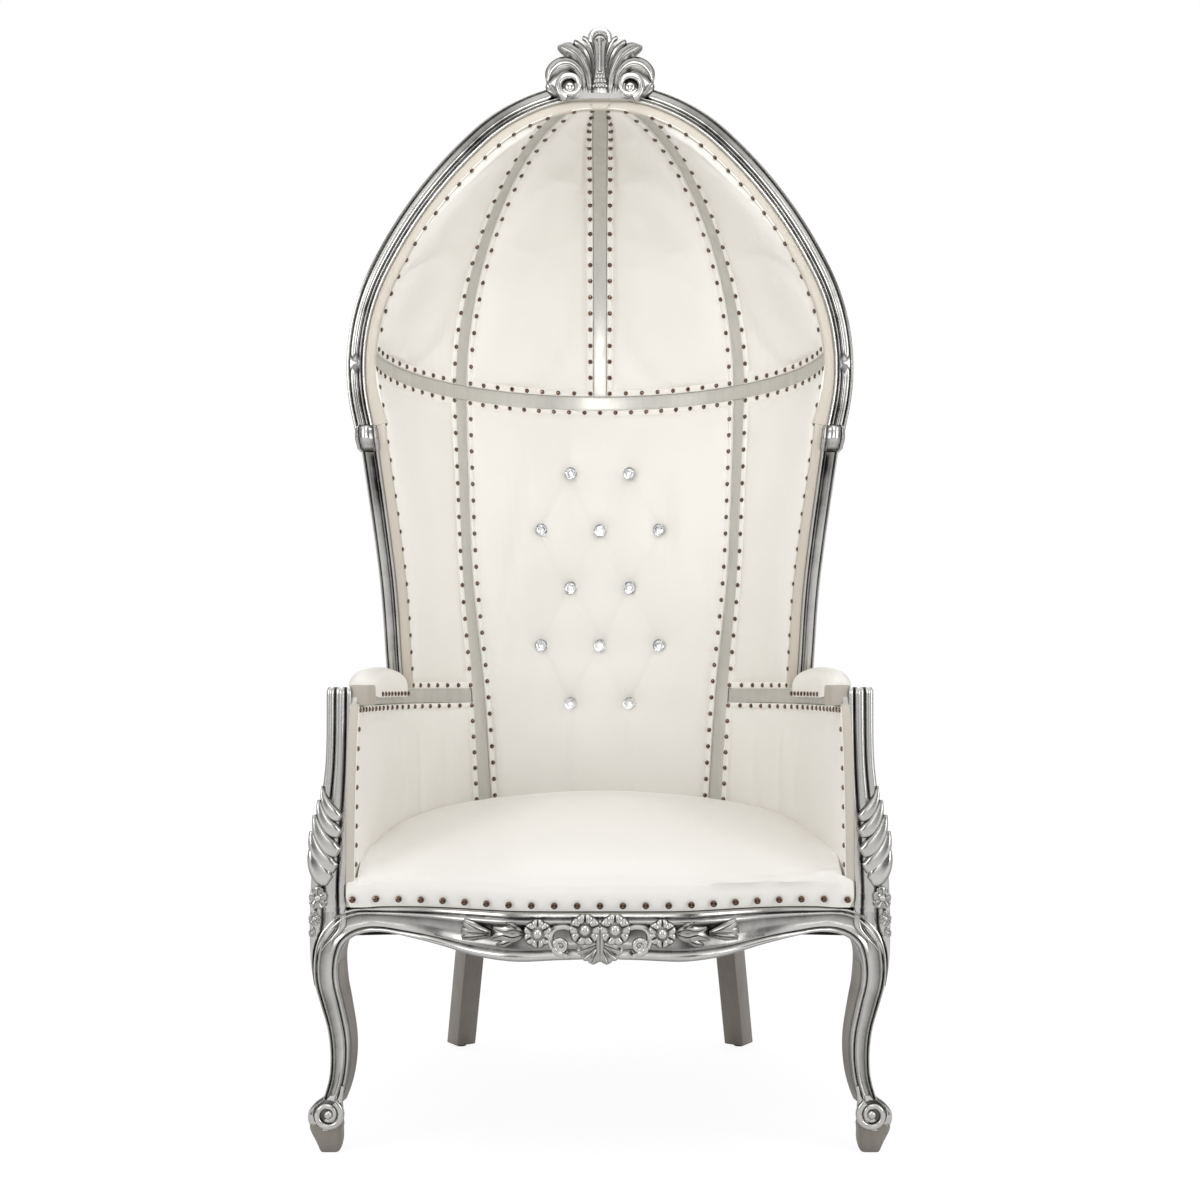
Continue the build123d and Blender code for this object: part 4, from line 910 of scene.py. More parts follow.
_ring, _line, _out = arm_pad_grid()
_low = np.broadcast_to(np.abs(np.linspace(-1, 1, 34)) > 0.8, (60, 34))
arm_pad = build("arm_pad_cover_left", [tube(inflate(_ring, _low, 2.5, 2.5))], LEATHER, ("arm_pad_left",), crease=75)
opposite(arm_pad, "arm_pad_cover_right", ("arm_pad_right",))
_spots = smooth_line(_line - _out * 23.8 - [0, 0, 8.5], 12)[2:-1]
_face = -smooth_line(_out, 12)[2:-1]
NAIL_SPOTS += [(_spots, _face), (_spots * [-1, 1, 1], _face * [-1, 1, 1])]

# ---------------------------------------------------------------- hood's silver frame

ARCH_PROFILE = [
    (0, -5, 0.3), (0.02, -1, 0.2), (0.06, 2.2, 0), (0.11, 2.6, 0), (0.15, 0.8, 0.3), (0.175, -1.2, 0.95),
    (0.2, -0.8, 0.9), (0.23, 1.2, 0.1), (0.28, 0.6, 0), (0.34, -1.6, 0.1), (0.42, -3.6, 0.25), (0.5, -4.2, 0.5),
    (0.58, -3.2, 0.85), (0.64, -0.8, 0.6), (0.68, 1.6, 0.1), (0.71, 2.6, 0), (0.745, 1.0, 0.4), (0.765, -1.0, 1),
    (0.79, -0.9, 0.9), (0.82, 1.6, 0.1), (0.86, 2.8, 0), (0.91, 2.8, 0), (0.95, 1.4, 0.1), (0.98, -1, 0.3), (1, -4, 0.4),
]
_places, _inward = arch_line(60)
_front = HOOD_START_DEPTH
_half = FRAME_FACE / 2
_edges = []
for offset, depth in ((-_half, _front), (_half, _front), (_half, _front + FRAME_DEPTH), (-_half, _front + FRAME_DEPTH)):
    _spot = _places + _inward * offset
    _edges.append(at(_spot[:, 0], depth, _spot[:, 1]))
_pinch = np.exp(-(((_places[:, 1] - 1172) / 9.0) ** 2))
_reach = np.abs(_places[:, 0])
# Painted shade: the arch's field darker below the crown and on its upper sides, standing in for dark reflections.
_arch_painted_shade = 0.34 * ease((1400 - _places[:, 1]) / 200) + 0.5 * ease((_reach - 95) / 60) * (1 - ease((_reach - 190) / 90))
ARCH_SHELL = moulded(*_edges, ARCH_PROFILE, _pinch, shade=_arch_painted_shade)
build("arch_moulding_left", [ARCH_SHELL], SILVER, ("hood_arch_left",))
build("arch_moulding_right", mirrored([ARCH_SHELL]), SILVER, ("hood_arch_right",))


def side_edges(heights, inner, outer, depth_front, depth_back):
    """Four edge lines up the wall between two offsets and two depths."""
    lines = []
    for offset, depth in ((outer, depth_front), (inner, depth_front), (inner, depth_back), (outer, depth_back)):
        turn = turn_at_depth(heights, depth)
        step = np.radians(0.5)
        (x, d) = wall(heights, turn)
        (ax, ad), (bx, bd) = wall(heights, turn - step), wall(heights, np.minimum(turn + step, np.pi / 2))
        size = np.hypot(bx - ax, bd - ad)
        lines.append(at(x - (bd - ad) / size * offset, d + (bx - ax) / size * offset, heights))
    return lines


_z = np.linspace(BAND_TOP + 0.5, KNUCKLE_HEIGHT - 16, 60)
_fill = np.exp(-(((_z - 1036) / 7.0) ** 2)) + np.exp(-(((_z - 664) / 6.0) ** 2))
_edges = side_edges(_z, FRAME_INNER, FRAME_INNER + STILE_FACE, frame_front(_z), frame_front(_z) + FRAME_DEPTH)
# Painted shade: the stile's field darker towards its top.
STILE_SHELL = moulded(*_edges, ARCH_PROFILE, np.clip(_fill, 0, 1), shade=0.5 * ease((_z - 880) / 120))

# The knuckle: a swelling collar with a rolled lip at each end
_z = np.linspace(KNUCKLE_HEIGHT - 21, KNUCKLE_HEIGHT + 21, 36)
_s = (_z - KNUCKLE_HEIGHT) / 21
_swell = 6.5 * np.sqrt(np.clip(1 - _s**2, 0, 1)) + 1.2 * np.exp(-(((np.abs(_s) - 0.72) / 0.1) ** 2))
_near = HOOD_START_DEPTH + 7.3 * ease(-_s) - _swell * 1.2
_edges = side_edges(_z, FRAME_INNER - _swell * 0.35, FRAME_INNER + STILE_FACE + _swell, _near, frame_front(_z) + FRAME_DEPTH)
KNUCKLE_PROFILE = [
    (0, -7, 0.3), (0.05, -1.5, 0.2), (0.11, 1.2, 0.1), (0.16, 0.6, 0.6), (0.19, -0.6, 1), (0.24, 0.8, 0.5),
    (0.32, 3.4, 0.25), (0.42, 5.2, 0), (0.51, 5.8, 0), (0.6, 5.2, 0), (0.7, 3.2, 0.3), (0.77, 0.8, 0.7),
    (0.81, -0.4, 1), (0.85, 0.8, 0.4), (0.9, 1.6, 0.1), (0.95, 0, 0.2), (0.98, -2, 0.3), (1, -6, 0.4),
]
# Painted shade: the knuckle darker at its rolled lips and over its lower half, which faces down.
_knuckle_painted_shade = 0.85 * ease((np.abs(_s) - 0.66) / 0.3) + 0.3 * ease(-_s * 1.4)
KNUCKLE_SHELL = moulded(*_edges, KNUCKLE_PROFILE, shade=_knuckle_painted_shade)
build("stile_moulding_left", [STILE_SHELL], SILVER, ("hood_stile_left",))
build("stile_moulding_right", mirrored([STILE_SHELL]), SILVER, ("hood_stile_right",))
build("knuckle_left", [KNUCKLE_SHELL], SILVER, ("hood_collar_left",))
build("knuckle_right", mirrored([KNUCKLE_SHELL]), SILVER, ("hood_collar_right",))

# Greige edging between the padding and the silver, round the arch and down to the arms
STRIP = [(0, -1.5, 0.0), (0.06, 0.0, 0), (0.2, 0.9, 0), (0.5, 1.2, 0), (0.8, 0.9, 0), (0.94, 0.0, 0), (1, -1.5, 0)]
_edges = []
_wide = _half + 14.5 + 7.2 * np.clip((1195 - _places[:, 1]) / 121, 0, 1.1) ** 2
for offset, depth in ((_half - 1, _front + 0.5), (_wide, _front + 0.5), (_wide, _front + 8), (_half - 1, _front + 8)):
    _spot = _places + _inward * np.broadcast_to(offset, len(_places))[:, None]
    _edges.append(at(_spot[:, 0], depth, _spot[:, 1]))
EDGING_SHELLS = [moulded(*_edges, STRIP)]
_z = np.linspace(BAND_TOP + 0.5, KNUCKLE_HEIGHT + 20, 60)
_edges = side_edges(_z, -4.5, FRAME_INNER + 1, frame_front(_z) + 0.5, frame_front(_z) + 8)
EDGING_SHELLS.append(moulded(*_edges, STRIP))
_z = np.linspace(TUB_FLOOR + 1, 640, 40)
_x, _start = plan(_z)[:2]
_edges = [at(_x + w, _start + d, _z) for w, d in ((10.5, -0.8), (-3.0, -0.8), (-3.0, 8), (10.5, 8))]
EDGING_SHELLS.append(moulded(*_edges, STRIP))
build("edging_left", EDGING_SHELLS, EDGING, ())
build("edging_right", mirrored(EDGING_SHELLS), EDGING, ())

# ---------------------------------------------------------------- legs and apron

LEG_PROFILE = [
    (0, -5, 0.35), (0.015, -1, 0.2), (0.04, 2.4, 0), (0.08, 3.1, 0), (0.115, 1.4, 0.4), (0.135, -1.0, 1), (0.16, -0.6, 0.8),
    (0.185, 1.2, 0.1), (0.22, 1.9, 0), (0.255, 0.8, 0.2), (0.29, -1.2, 0.7), (0.36, -2.8, 0.55), (0.46, -3.4, 0.35),
    (0.56, -3.0, 0.15), (0.66, -1.8, 0.05), (0.735, 0.0, 0.1), (0.765, -0.4, 0.6), (0.785, -1.2, 1), (0.81, -0.4, 0.8),
    (0.845, 2.0, 0.05), (0.885, 3.1, 0), (0.93, 2.9, 0), (0.965, 1.4, 0.2), (0.985, -1, 0.4), (1, -5, 0.5),
]
UPPER_LINE = [
    (0, 349), (60, 349), (120, 349), (180, 349), (240, 349), (295, 349), (332, 349), (356, 347.8), (375, 339),
    (392, 322), (400, 310), (406, 292), (409, 266), (407.5, 240), (400, 210), (391, 176), (387, 142), (387.5, 108), (393, 84), (399, 68),
]
LOWER_LINE = [
    (0, 283), (60, 281), (120, 278.5), (176, 283), (228, 295), (272, 305), (305, 312), (332, 312.5), (352, 307),
    (365, 296), (371.5, 279), (374, 258), (373, 238), (367, 210), (359.5, 168), (358, 138), (361, 108), (367, 84), (374, 66),
]
NEAR_TABLE = [(0.15, 0.1), (0.25, 0.14), (0.33, 0.18), (0.41, 0.2), (0.5, 0.19), (0.6, 0.14), (0.69, 0.09), (0.78, 0.06), (0.9, 0.06), (1.0, 0.08)]
FAR_TABLE = [(0.15, 0.68), (0.25, 0.68), (0.33, 0.7), (0.41, 0.72), (0.5, 0.76), (0.6, 0.81), (0.69, 0.88), (0.78, 0.93), (0.9, 0.97), (1.0, 0.98)]


def on_leg(x, z):
    """How far a place belongs to the leg rather than to the apron, from 0 to 1."""
    return np.maximum(ease((x - 338) / 32), ease((308 - z) / 26) * (x > 330))


def front_depth(x, z):
    """Depth of the front: the apron's bow, easing into the leg's own curve."""
    apron = smooth_value(BOW_TABLE, np.abs(x) / APRON_END) * -APRON_BOW
    leg = LEG_DEPTH * smooth_value(NEAR_TABLE, z / SEAT_TOP)
    return apron + (leg - apron) * on_leg(x, z)


def back_depth(x, z):
    apron = smooth_value(BOW_TABLE, np.abs(x) / APRON_END) * -APRON_BOW + 34
    leg = LEG_DEPTH * smooth_value(FAR_TABLE, z / SEAT_TOP)
    return apron + (leg - apron) * on_leg(x, z)


_upper, _lower = smooth_line(UPPER_LINE, 260), smooth_line(LOWER_LINE, 260)
_side = 6.0 * ease((300 - _lower[:, 1]) / 60)
_upper_front, _lower_front = front_depth(*_upper.T) + 3.5, front_depth(*_lower.T) + 3.5
_edges = [
    at(_upper[:, 0], _upper_front, _upper[:, 1]),
    at(_lower[:, 0], _lower_front, _lower[:, 1]),
    at(_lower[:, 0], _lower_front + 14, _lower[:, 1]),
    at(_upper[:, 0], _upper_front + 14, _upper[:, 1]),
]
# Painted shade: the apron's field darker in the middle, round the carving.
LEG_SHELL = moulded(*_edges, LEG_PROFILE, shade=0.5 * (1 - ease((_upper[:, 0] - 165) / 55)))
_edges = [
    at(_upper[:, 0] - 0.6, _upper_front + 9, _upper[:, 1] - 0.6),
    at(_lower[:, 0] - 1.5 * (_side > 3), _lower_front + 9, _lower[:, 1] + 0.6),
    at(_lower[:, 0] - _side, back_depth(*_lower.T), _lower[:, 1] + 0.6),
    at(_upper[:, 0] - 0.6, back_depth(*_upper.T), _upper[:, 1] - 0.6),
]
CORE_SHELL = moulded(*_edges, [(0, 0, 0), (0.5, 0, 0), (1, 0, 0)])


def boxy_loft(levels, sides=40, power=4.0):
    """Skin through upright levels of (height, centre, half width, centre depth, half depth),
    each a superellipse."""
    levels = smooth_line(levels, 26)
    turn = np.linspace(0, 2 * np.pi, sides, endpoint=False)
    c, s = np.cos(turn), np.sin(turn)
    x = levels[:, 1:2] + levels[:, 2:3] * np.sign(c) * np.abs(c) ** (2 / power)
    d = levels[:, 3:4] + levels[:, 4:5] * np.sign(s) * np.abs(s) ** (2 / power)
    return tube(at(x, d, levels[:, :1]), 0.05)


FOOT_SHELL = boxy_loft([
    (0, 386.5, 12.8, 29, 17), (2.5, 386.5, 14.5, 29, 18), (14, 387.5, 18, 28, 20), (28, 391, 21.5, 27.5, 21.5),
    (36, 392, 23, 27.5, 22), (42, 392, 21, 27.5, 21), (50, 391, 15, 28, 18),
], power=5.0)
VOLUTE_SHELLS = [
    scroll((387, 56), 20.5, 7.0, 120, 660, 5.2, plane_depth=1.5),
    ball(at(386, 1.0, 56.5), 6.4, height=0.95),
    # Flat dark disc behind the spiral: painted shade of the hollow between its turns.
    ball(at(388, 5.0, 56), 21.0, height=0.1, tone=0.95),
    boxy_loft([(34, 392, 20, 28, 19), (40, 393.5, 24, 28, 22), (54, 394, 24.5, 28, 22.5), (66, 390, 20, 28, 20), (74, 385, 14, 28, 17), (80, 382, 9, 28, 14)], power=2.8),
    rod(smooth_line([at(x, 6, z) for x, z in ((366, 96), (369, 78), (372, 62), (376, 48), (384, 38), (394, 36))], 24), np.linspace(2.5, 4.6, 24)),
]
LEG_SHELLS = [LEG_SHELL] + VOLUTE_SHELLS
build("leg_and_apron_left", LEG_SHELLS, SILVER, ("front_leg_left", "apron"))
build("leg_and_apron_right", mirrored(LEG_SHELLS), SILVER, ("front_leg_right", "apron"))
build("leg_core_left", [CORE_SHELL, FOOT_SHELL], LEG_PAINT, (), crease=50)
build("leg_core_right", mirrored([CORE_SHELL, FOOT_SHELL]), LEG_PAINT, (), crease=50)

# ---------------------------------------------------------------- arm posts

POST_PROFILE = [
    (0, -7, 0.3), (0.02, -2.5, 0.15), (0.05, 1.4, 0), (0.1, 2.9, 0), (0.17, 3.5, 0), (0.25, 3.1, 0), (0.3, 1.6, 0.2), (0.33, -0.6, 0.8),
    (0.35, -1.4, 1), (0.375, 0.2, 0.5), (0.41, 2.4, 0), (0.48, 3.6, 0), (0.56, 3.9, 0), (0.64, 3.4, 0), (0.69, 2.0, 0.2), (0.725, -0.4, 0.9),
    (0.75, -1.4, 1), (0.785, 0.2, 0.6), (0.82, 1.9, 0), (0.87, 2.6, 0), (0.92, 2.2, 0), (0.955, 0.8, 0.2), (0.98, -1, 0.5), (1, -4, 0.4),
]
POST_OUTER = [(238, 407.5), (264, 412), (300, 415), (336, 415.5), (382, 413.5), (423, 412), (453, 409.5), (480, 404), (507, 398.5), (545, 393.5), (580, 391.5), (620, 391), (664, 391)]
POST_INNER = [(238, 405.5), (270, 402), (292, 392), (308, 374), (322, 362), (345, 360.5), (382, 361.5), (433, 359), (472, 357.5), (507, 356), (570, 354.5), (620, 353.5), (664, 353)]
_z = np.linspace(238, 664, 130)
_outer, _inner = smooth_value(POST_OUTER, _z), smooth_value(POST_INNER, _z)
_near = np.where(_z < SEAT_TOP, LEG_DEPTH * smooth_value(NEAR_TABLE, np.minimum(_z / SEAT_TOP, 1)) + 6, 9.5)
_far = 60 + 14 * ease((520 - _z) / 170) - 46 * ease((345 - _z) / 100)
_top = 1 - np.sqrt(np.clip(1 - np.clip((_z - 655) / 9.5, 0, 1) ** 2, 0, 1))
_edges = [
    at(_outer - 4 * _top, _near + 5 * _top, _z),
    at(_inner + 3 * _top, _near + 5 * _top, _z),
    at(_inner + 3 * _top, _far - 4 * _top, _z),
    at(_outer - 4 * _top, _far - 4 * _top, _z),
]
POST_SHELL = moulded(*_edges, POST_PROFILE)
FRONDS = [
    ([(395, 523), (392, 506), (385, 492), (377, 482), (369, 477)], [1.5, 6, 9, 9.5, 5.5]),
    ([(400, 503), (396, 486), (388, 470), (379, 460), (370, 455)], [3, 8, 10.5, 11, 6.5]),
    ([(406, 482), (401, 463), (392, 446), (382, 434), (372, 428)], [3.5, 9, 12, 12.5, 7.5]),
    ([(410, 459), (406, 440), (397, 423), (387, 412), (376, 406)], [4, 9.5, 12.5, 13, 7.5]),
    ([(410, 438), (406, 420), (399, 404), (391, 393), (384, 388)], [4, 11, 14.5, 14, 8]),
]
FROND_SHELLS = []
for _k, (_points, _widths) in enumerate(FRONDS):
    _spine = np.array([at(x, 8.5 - _k * 0.4 - 1.1 * t, z) for t, (x, z) in enumerate(_points)])
    FROND_SHELLS.append(blade(_spine, _widths, 9.5, (0.15, -1, 0.12), 0, 2.0, 7.0, 26, crease=0.0))
for _cx, _cz, _size in ((401, 364, 17.0), (406, 335, 11.0), (409, 315, 7.0)):
    for _turn in np.radians(np.arange(0, 360, 72) + 18):
        _dx, _dz = np.cos(_turn), np.sin(_turn)
        _spine = np.array([at(_cx + _dx * r * 0.72 * _size, 3.5, _cz + _dz * r * _size) for r in (0.1, 0.4, 0.75, 1)])
        FROND_SHELLS.append(blade(_spine, np.array([0.14, 0.42, 0.46, 0.18]) * _size, 0.3 * _size, flutes=1, curl=1.5, count=12))
    FROND_SHELLS.append(ball(at(_cx, 1.5, _cz), 0.3 * _size))
build("arm_post_carving_left", [POST_SHELL] + FROND_SHELLS, SILVER, ("arm_post_left",))
build("arm_post_carving_right", mirrored([POST_SHELL] + FROND_SHELLS), SILVER, ("arm_post_right",))

# ---------------------------------------------------------------- crest


def petal_ring(centre, radius, petals, relief_height, depth, start=90.0, wide=0.62):
    """Open flower: petals turned about its middle, and a ball."""
    shells = []
    for turn in np.radians(start + np.arange(petals) * 360.0 / petals):
        dx, dz = np.cos(turn), np.sin(turn)
        spine = np.array([at(centre[0] + dx * radius * r, depth, centre[1] + dz * radius * r) for r in (0.12, 0.42, 0.75, 0.98)])
        shells.append(blade(spine, [radius * 0.16, radius * wide * 0.8, radius * wide, radius * wide * 0.5], relief_height, flutes=0, curl=2.0, count=12, crease=0.4))
    # Flat dark disc round the middle ball: painted shade of the flower's cup.
    shells.append(ball(at(centre[0], depth - relief_height * 0.8, centre[1]), radius * 0.54, height=0.16, tone=0.8))
    shells.append(ball(at(centre[0], depth - relief_height * 0.95, centre[1]), radius * 0.36, height=0.95))
    return shells


CREST_DEPTH = HOOD_START_DEPTH - 9.0
CREST_LEAVES = [
    ([(16, 1588), (19, 1618), (33, 1645), (50, 1658), (66, 1663)], [5, 8, 12, 12, 1.5], 13, 2),
    ([(11, 1600), (13, 1632), (20, 1655), (33, 1668), (41, 1671.5)], [4, 6, 8.5, 7, 1.5], 10, 1),
    ([(7, 1620), (9, 1645), (14, 1664), (21, 1675), (27, 1678)], [3, 5, 6.5, 5, 2], 8, 1),
    ([(24, 1590), (29, 1618), (44, 1634), (62, 1634), (76, 1622), (82, 1607)], [4, 8, 11, 12, 10, 2], 11, 2),
    ([(66, 1588), (73, 1594), (79, 1600), (82, 1606)], [3, 6, 6.5, 2], 6, 1),
]
CREST_SHELLS = []
for _points, _widths, _rise, _flutes in CREST_LEAVES:
    _spine = np.array([at(x, CREST_DEPTH, z) for x, z in _points])
    _leaf = blade(_spine, _widths, _rise, flutes=_flutes, curl=3.0, base=8.0, count=26)
    CREST_SHELLS += [_leaf] + mirrored([_leaf])
_scroll = [
    scroll((47, 1601), 19.0, 12.0, -75, 330, 5.8, plane_depth=CREST_DEPTH - 5),
    ball(at(47, CREST_DEPTH + 1, 1600), 9.5, height=0.8),
    # Flat dark disc behind the scroll: painted shade of the eye's hollow.
    ball(at(47, CREST_DEPTH + 4, 1601), 19.0, height=0.2, tone=0.95),
]
CREST_SHELLS += _scroll + mirrored(_scroll)
_stem = np.array([at(0, CREST_DEPTH - 5, z) for z in (1590, 1612, 1635, 1655, 1672)])
CREST_SHELLS.append(blade(_stem, [14, 11, 8, 9, 11], 3.0, flutes=1, base=14.0))
CREST_SHELLS.append(rod(smooth_line([at(0, CREST_DEPTH - 9, z) for z in (1622, 1640, 1660, 1674)], 20), np.linspace(2.6, 3.4, 20)))
_cap = [at(x, CREST_DEPTH - 7, z) for x, z in ((-15, 1668), (-14, 1679), (-8, 1685.5), (0, 1686.8), (8, 1685.5), (14, 1679), (15, 1668))]
CREST_SHELLS.append(rod(smooth_line(_cap, 30), 5.0 - 1.5 * np.abs(np.linspace(-1, 1, 30)) ** 2, sides=10))
CREST_SHELLS.append(ball(at(0, CREST_DEPTH + 2, 1672), 14.0, height=0.6, tone=0.3))
for _row, (_cz, _count) in enumerate(((1627, 2), (1620, 3), (1613, 3), (1606, 4), (1599, 5))):
    for _bx in np.linspace(-1, 1, _count) * (1.5 + _row * 2.1):
        CREST_SHELLS.append(ball(at(_bx, CREST_DEPTH - 8, _cz), 2.4, rows=5, sides=8, tone=0.15))
CREST_SHELLS.append(boxy_loft([(1581, 0, 62, CREST_DEPTH + 14, 20), (1592, 0, 68, CREST_DEPTH + 14, 19), (1606, 0, 58, CREST_DEPTH + 14, 18), (1625, 0, 34, CREST_DEPTH + 13, 15), (1650, 0, 24, CREST_DEPTH + 12, 13), (1672, 0, 12, CREST_DEPTH + 10, 9)], power=2.4))
build("crest_leaves", CREST_SHELLS, SILVER, ("crest_carving",))

# ---------------------------------------------------------------- apron's carving


def apron_face(x):
    """Depth of the apron's field at a place across it."""
    return smooth_value(BOW_TABLE, np.abs(x) / APRON_END) * -APRON_BOW + 4.0


APRON_SHELLS = []
for _side in (-1, 1):
    APRON_SHELLS += petal_ring((_side * 21, 325), 22.5, 5, 9.0, apron_face(20) - 1, start=90.0, wide=0.6)
    APRON_SHELLS += petal_ring((_side * 87, 319.8), 20.5, 6, 9.0, apron_face(87) - 1, wide=0.5)
    _curl = [
        scroll((55, 302), 11.0, 3.5, -100, 400, 4.8, plane_depth=float(apron_face(54)) - 2.5),
        rod(smooth_line([at(x, apron_face(x) - 2.5, z) for x, z in ((54, 291), (46, 288), (40, 293))], 14), 4.2),
        rod(smooth_line([at(x, apron_face(x) - 2.5, z) for x, z in ((66, 300), (70, 314), (64, 326), (50, 329), (40, 326))], 16), np.linspace(5.2, 3.6, 16)),
    ]
    APRON_SHELLS += _curl if _side > 0 else mirrored(_curl)
    _spray = []
    for _points, _widths in (
        ([(106, 319), (122, 314), (138, 316), (154, 309)], [4, 8, 9, 2]),
        ([(106, 321), (120, 325), (136, 322), (150, 326)], [3, 6, 7, 2]),
        ([(112, 322), (122, 330), (132, 334)], [2, 4, 1.5]),
        ([(120, 312), (134, 305), (146, 302)], [3, 5, 1.5]),
        ([(154, 318), (168, 322), (182, 327), (194, 333)], [4, 6, 8, 5]),
        ([(154, 317), (170, 318), (184, 318), (197, 320)], [3, 5, 7, 4]),
        ([(156, 316), (172, 313), (186, 311), (196, 309)], [3, 4, 5, 3]),
    ):
        _spine = np.array([at(x, apron_face(x), z) for x, z in _points])
        _spray.append(blade(_spine - [0, 1.5, 0], _widths, 9.0, flutes=1, curl=2.0, count=18))
    APRON_SHELLS += _spray if _side > 0 else mirrored(_spray)
for _turn in (-90, -66, -114, -42, -138, -20, -160):
    _a = np.radians(_turn)
    _reach = 26.0 + 8.0 * np.abs(np.cos(_a)) ** 0.5
    _spine = np.array([at(np.cos(_a) * r * _reach, apron_face(0) - 2, 306 + np.sin(_a) * r * _reach) for r in (0.05, 0.4, 0.75, 1.0)])
    APRON_SHELLS.append(blade(_spine, [3, 7, 9, 3.5], 6.5, flutes=1, curl=2.0, count=14))
APRON_SHELLS.append(blade(np.array([at(0, apron_face(0) - 5, z) for z in (334, 320, 300, 282)]), [3, 5, 6, 3], 5.0, flutes=1))
build("apron_carving", APRON_SHELLS, SILVER, ())

# ---------------------------------------------------------------- arm fronts and rails

ARM_BLOCK = []
for _side in (1,):
    _levels = [(637.5, 343.5, 14.5, 44, 30), (640, 343.5, 15.5, 44, 31), (652, 343.5, 15.8, 44, 31.5), (664, 343.5, 15.4, 44, 31), (667, 343.5, 13.5, 44, 29)]
    ARM_BLOCK.append(boxy_loft(_levels, power=7.0))
# The arm blocks take the darker edging copy, which paints shade on the arm's front ends.
build("arm_block_left", ARM_BLOCK, ARM_END_PAINTED_SHADE, ())
build("arm_block_right", mirrored(ARM_BLOCK), ARM_END_PAINTED_SHADE, ())

# ---------------------------------------------------------------- outer covers


def outer_cover(name, place, lengths, replaced, pair=True):
    """Plain stretched cover on the outside of the wall, with a slight fullness."""
    u, v = edge_shares(lengths[0], 12.0, False), edge_shares(lengths[1], 12.0, False)
    grid = place(u, v)
    out = outward(grid, (0, DEPTH_ZERO + 250, 900))
    full = 13.5 + pillow(u, v, 2.2)
    piece = build(name, [pad(grid + out * full[..., None], grid + out * 9.5)], LEATHER, replaced[:1], crease=60)
    if pair:
        opposite(piece, name.replace("left", "right"), replaced[1:])
    return grid + out * 14.5


back_grid = outer_cover("back_outside", wall_grid(337.5, RING_TOP, lambda h: -rib_turn(h, -1.5), tub_edge(-1.5)), (856, 500), ("back_cover",), False)
behind = lambda h: turn_at_depth(h, frame_front(h) + FRAME_DEPTH + 2)
side_grid = outer_cover("side_outside_left", wall_grid(BAND_TOP + 0.8, RING_TOP, tub_edge(1.5), behind), (530, 280), ("side_cover_left", "side_cover_right"))
after_post = lambda h: turn_at_depth(h, np.full(np.shape(h), 78.0))
arm_grid = outer_cover("arm_outside_left", wall_grid(337.5, BAND_BOTTOM - 0.6, tub_edge(1.5), after_post), (300, 520), ("arm_cover_left", "arm_cover_right"))
COVER_LAST = RIB_DIRECTION + (LAST_DIRECTION - RIB_DIRECTION) * 0.8
dome_back = outer_cover(
    "dome_outside_left",
    dome_grid((1.2, 0.0), (0.0, COVER_LAST), HOOD_START_DEPTH + FRAME_DEPTH + 1),
    (560, 420),
    ("dome_cover_left", "dome_cover_right"),
)
PIPING = [
    rod(back_grid[2:-2, -1] , 3.2),
    rod(dome_back[0, :], 3.2),
    rod(back_grid[-1, len(back_grid[0]) // 2 :], 3.2),
    rod(side_grid[-1, :], 3.2),
]
build("piping_left", PIPING, LEATHER, ())
build("piping_right", mirrored(PIPING), LEATHER, ())
build("piping_crown", [rod(dome_back[:-1, 0] * [0, 1, 1], 3.2)], LEATHER, ())

# ---------------------------------------------------------------- nails and buttons


def nail_heads(name, spots, facing, radius, height, finish_used):
    """Domed heads: a ring of ten at three levels and a crown, turned to face outwards."""
    facing = turned(facing)
    helper = np.where(np.abs(facing[:, 2:3]) < 0.8, [[0.0, 0.0, 1.0]], [[1.0, 0.0, 0.0]])
    side = turned(np.cross(helper, facing))
    up = np.cross(facing, side)
    lift = np.array([-0.3, 0.0, 0.45, 0.95]) * np.pi / 2
    turn = np.linspace(0, 2 * np.pi, 10, endpoint=False)
    flat = side[:, None] * np.cos(turn)[None, :, None] + up[:, None] * np.sin(turn)[None, :, None]
    rings = spots[:, None, None] + flat[:, None] * (np.cos(lift) * radius)[None, :, None, None]
    rings = rings + facing[:, None, None] * (np.sin(lift) * height)[None, :, None, None]
    shells = [tube(ring, np.array([[0.9], [0.5], [0.0], [0.0]])) for ring in rings]
    return build(name, shells, finish_used)


_spots = np.concatenate([s for s, _ in NAIL_SPOTS])
_faces = np.concatenate([f for _, f in NAIL_SPOTS])
nail_heads("panel_nails", _spots, _faces, 4.2, 3.0, BRONZE)
nail_heads("seat_nails", SEAT_NAILS, np.tile([0.0, -1.0, 0.25], (len(SEAT_NAILS), 1)), 5.0, 3.6, BRONZE)


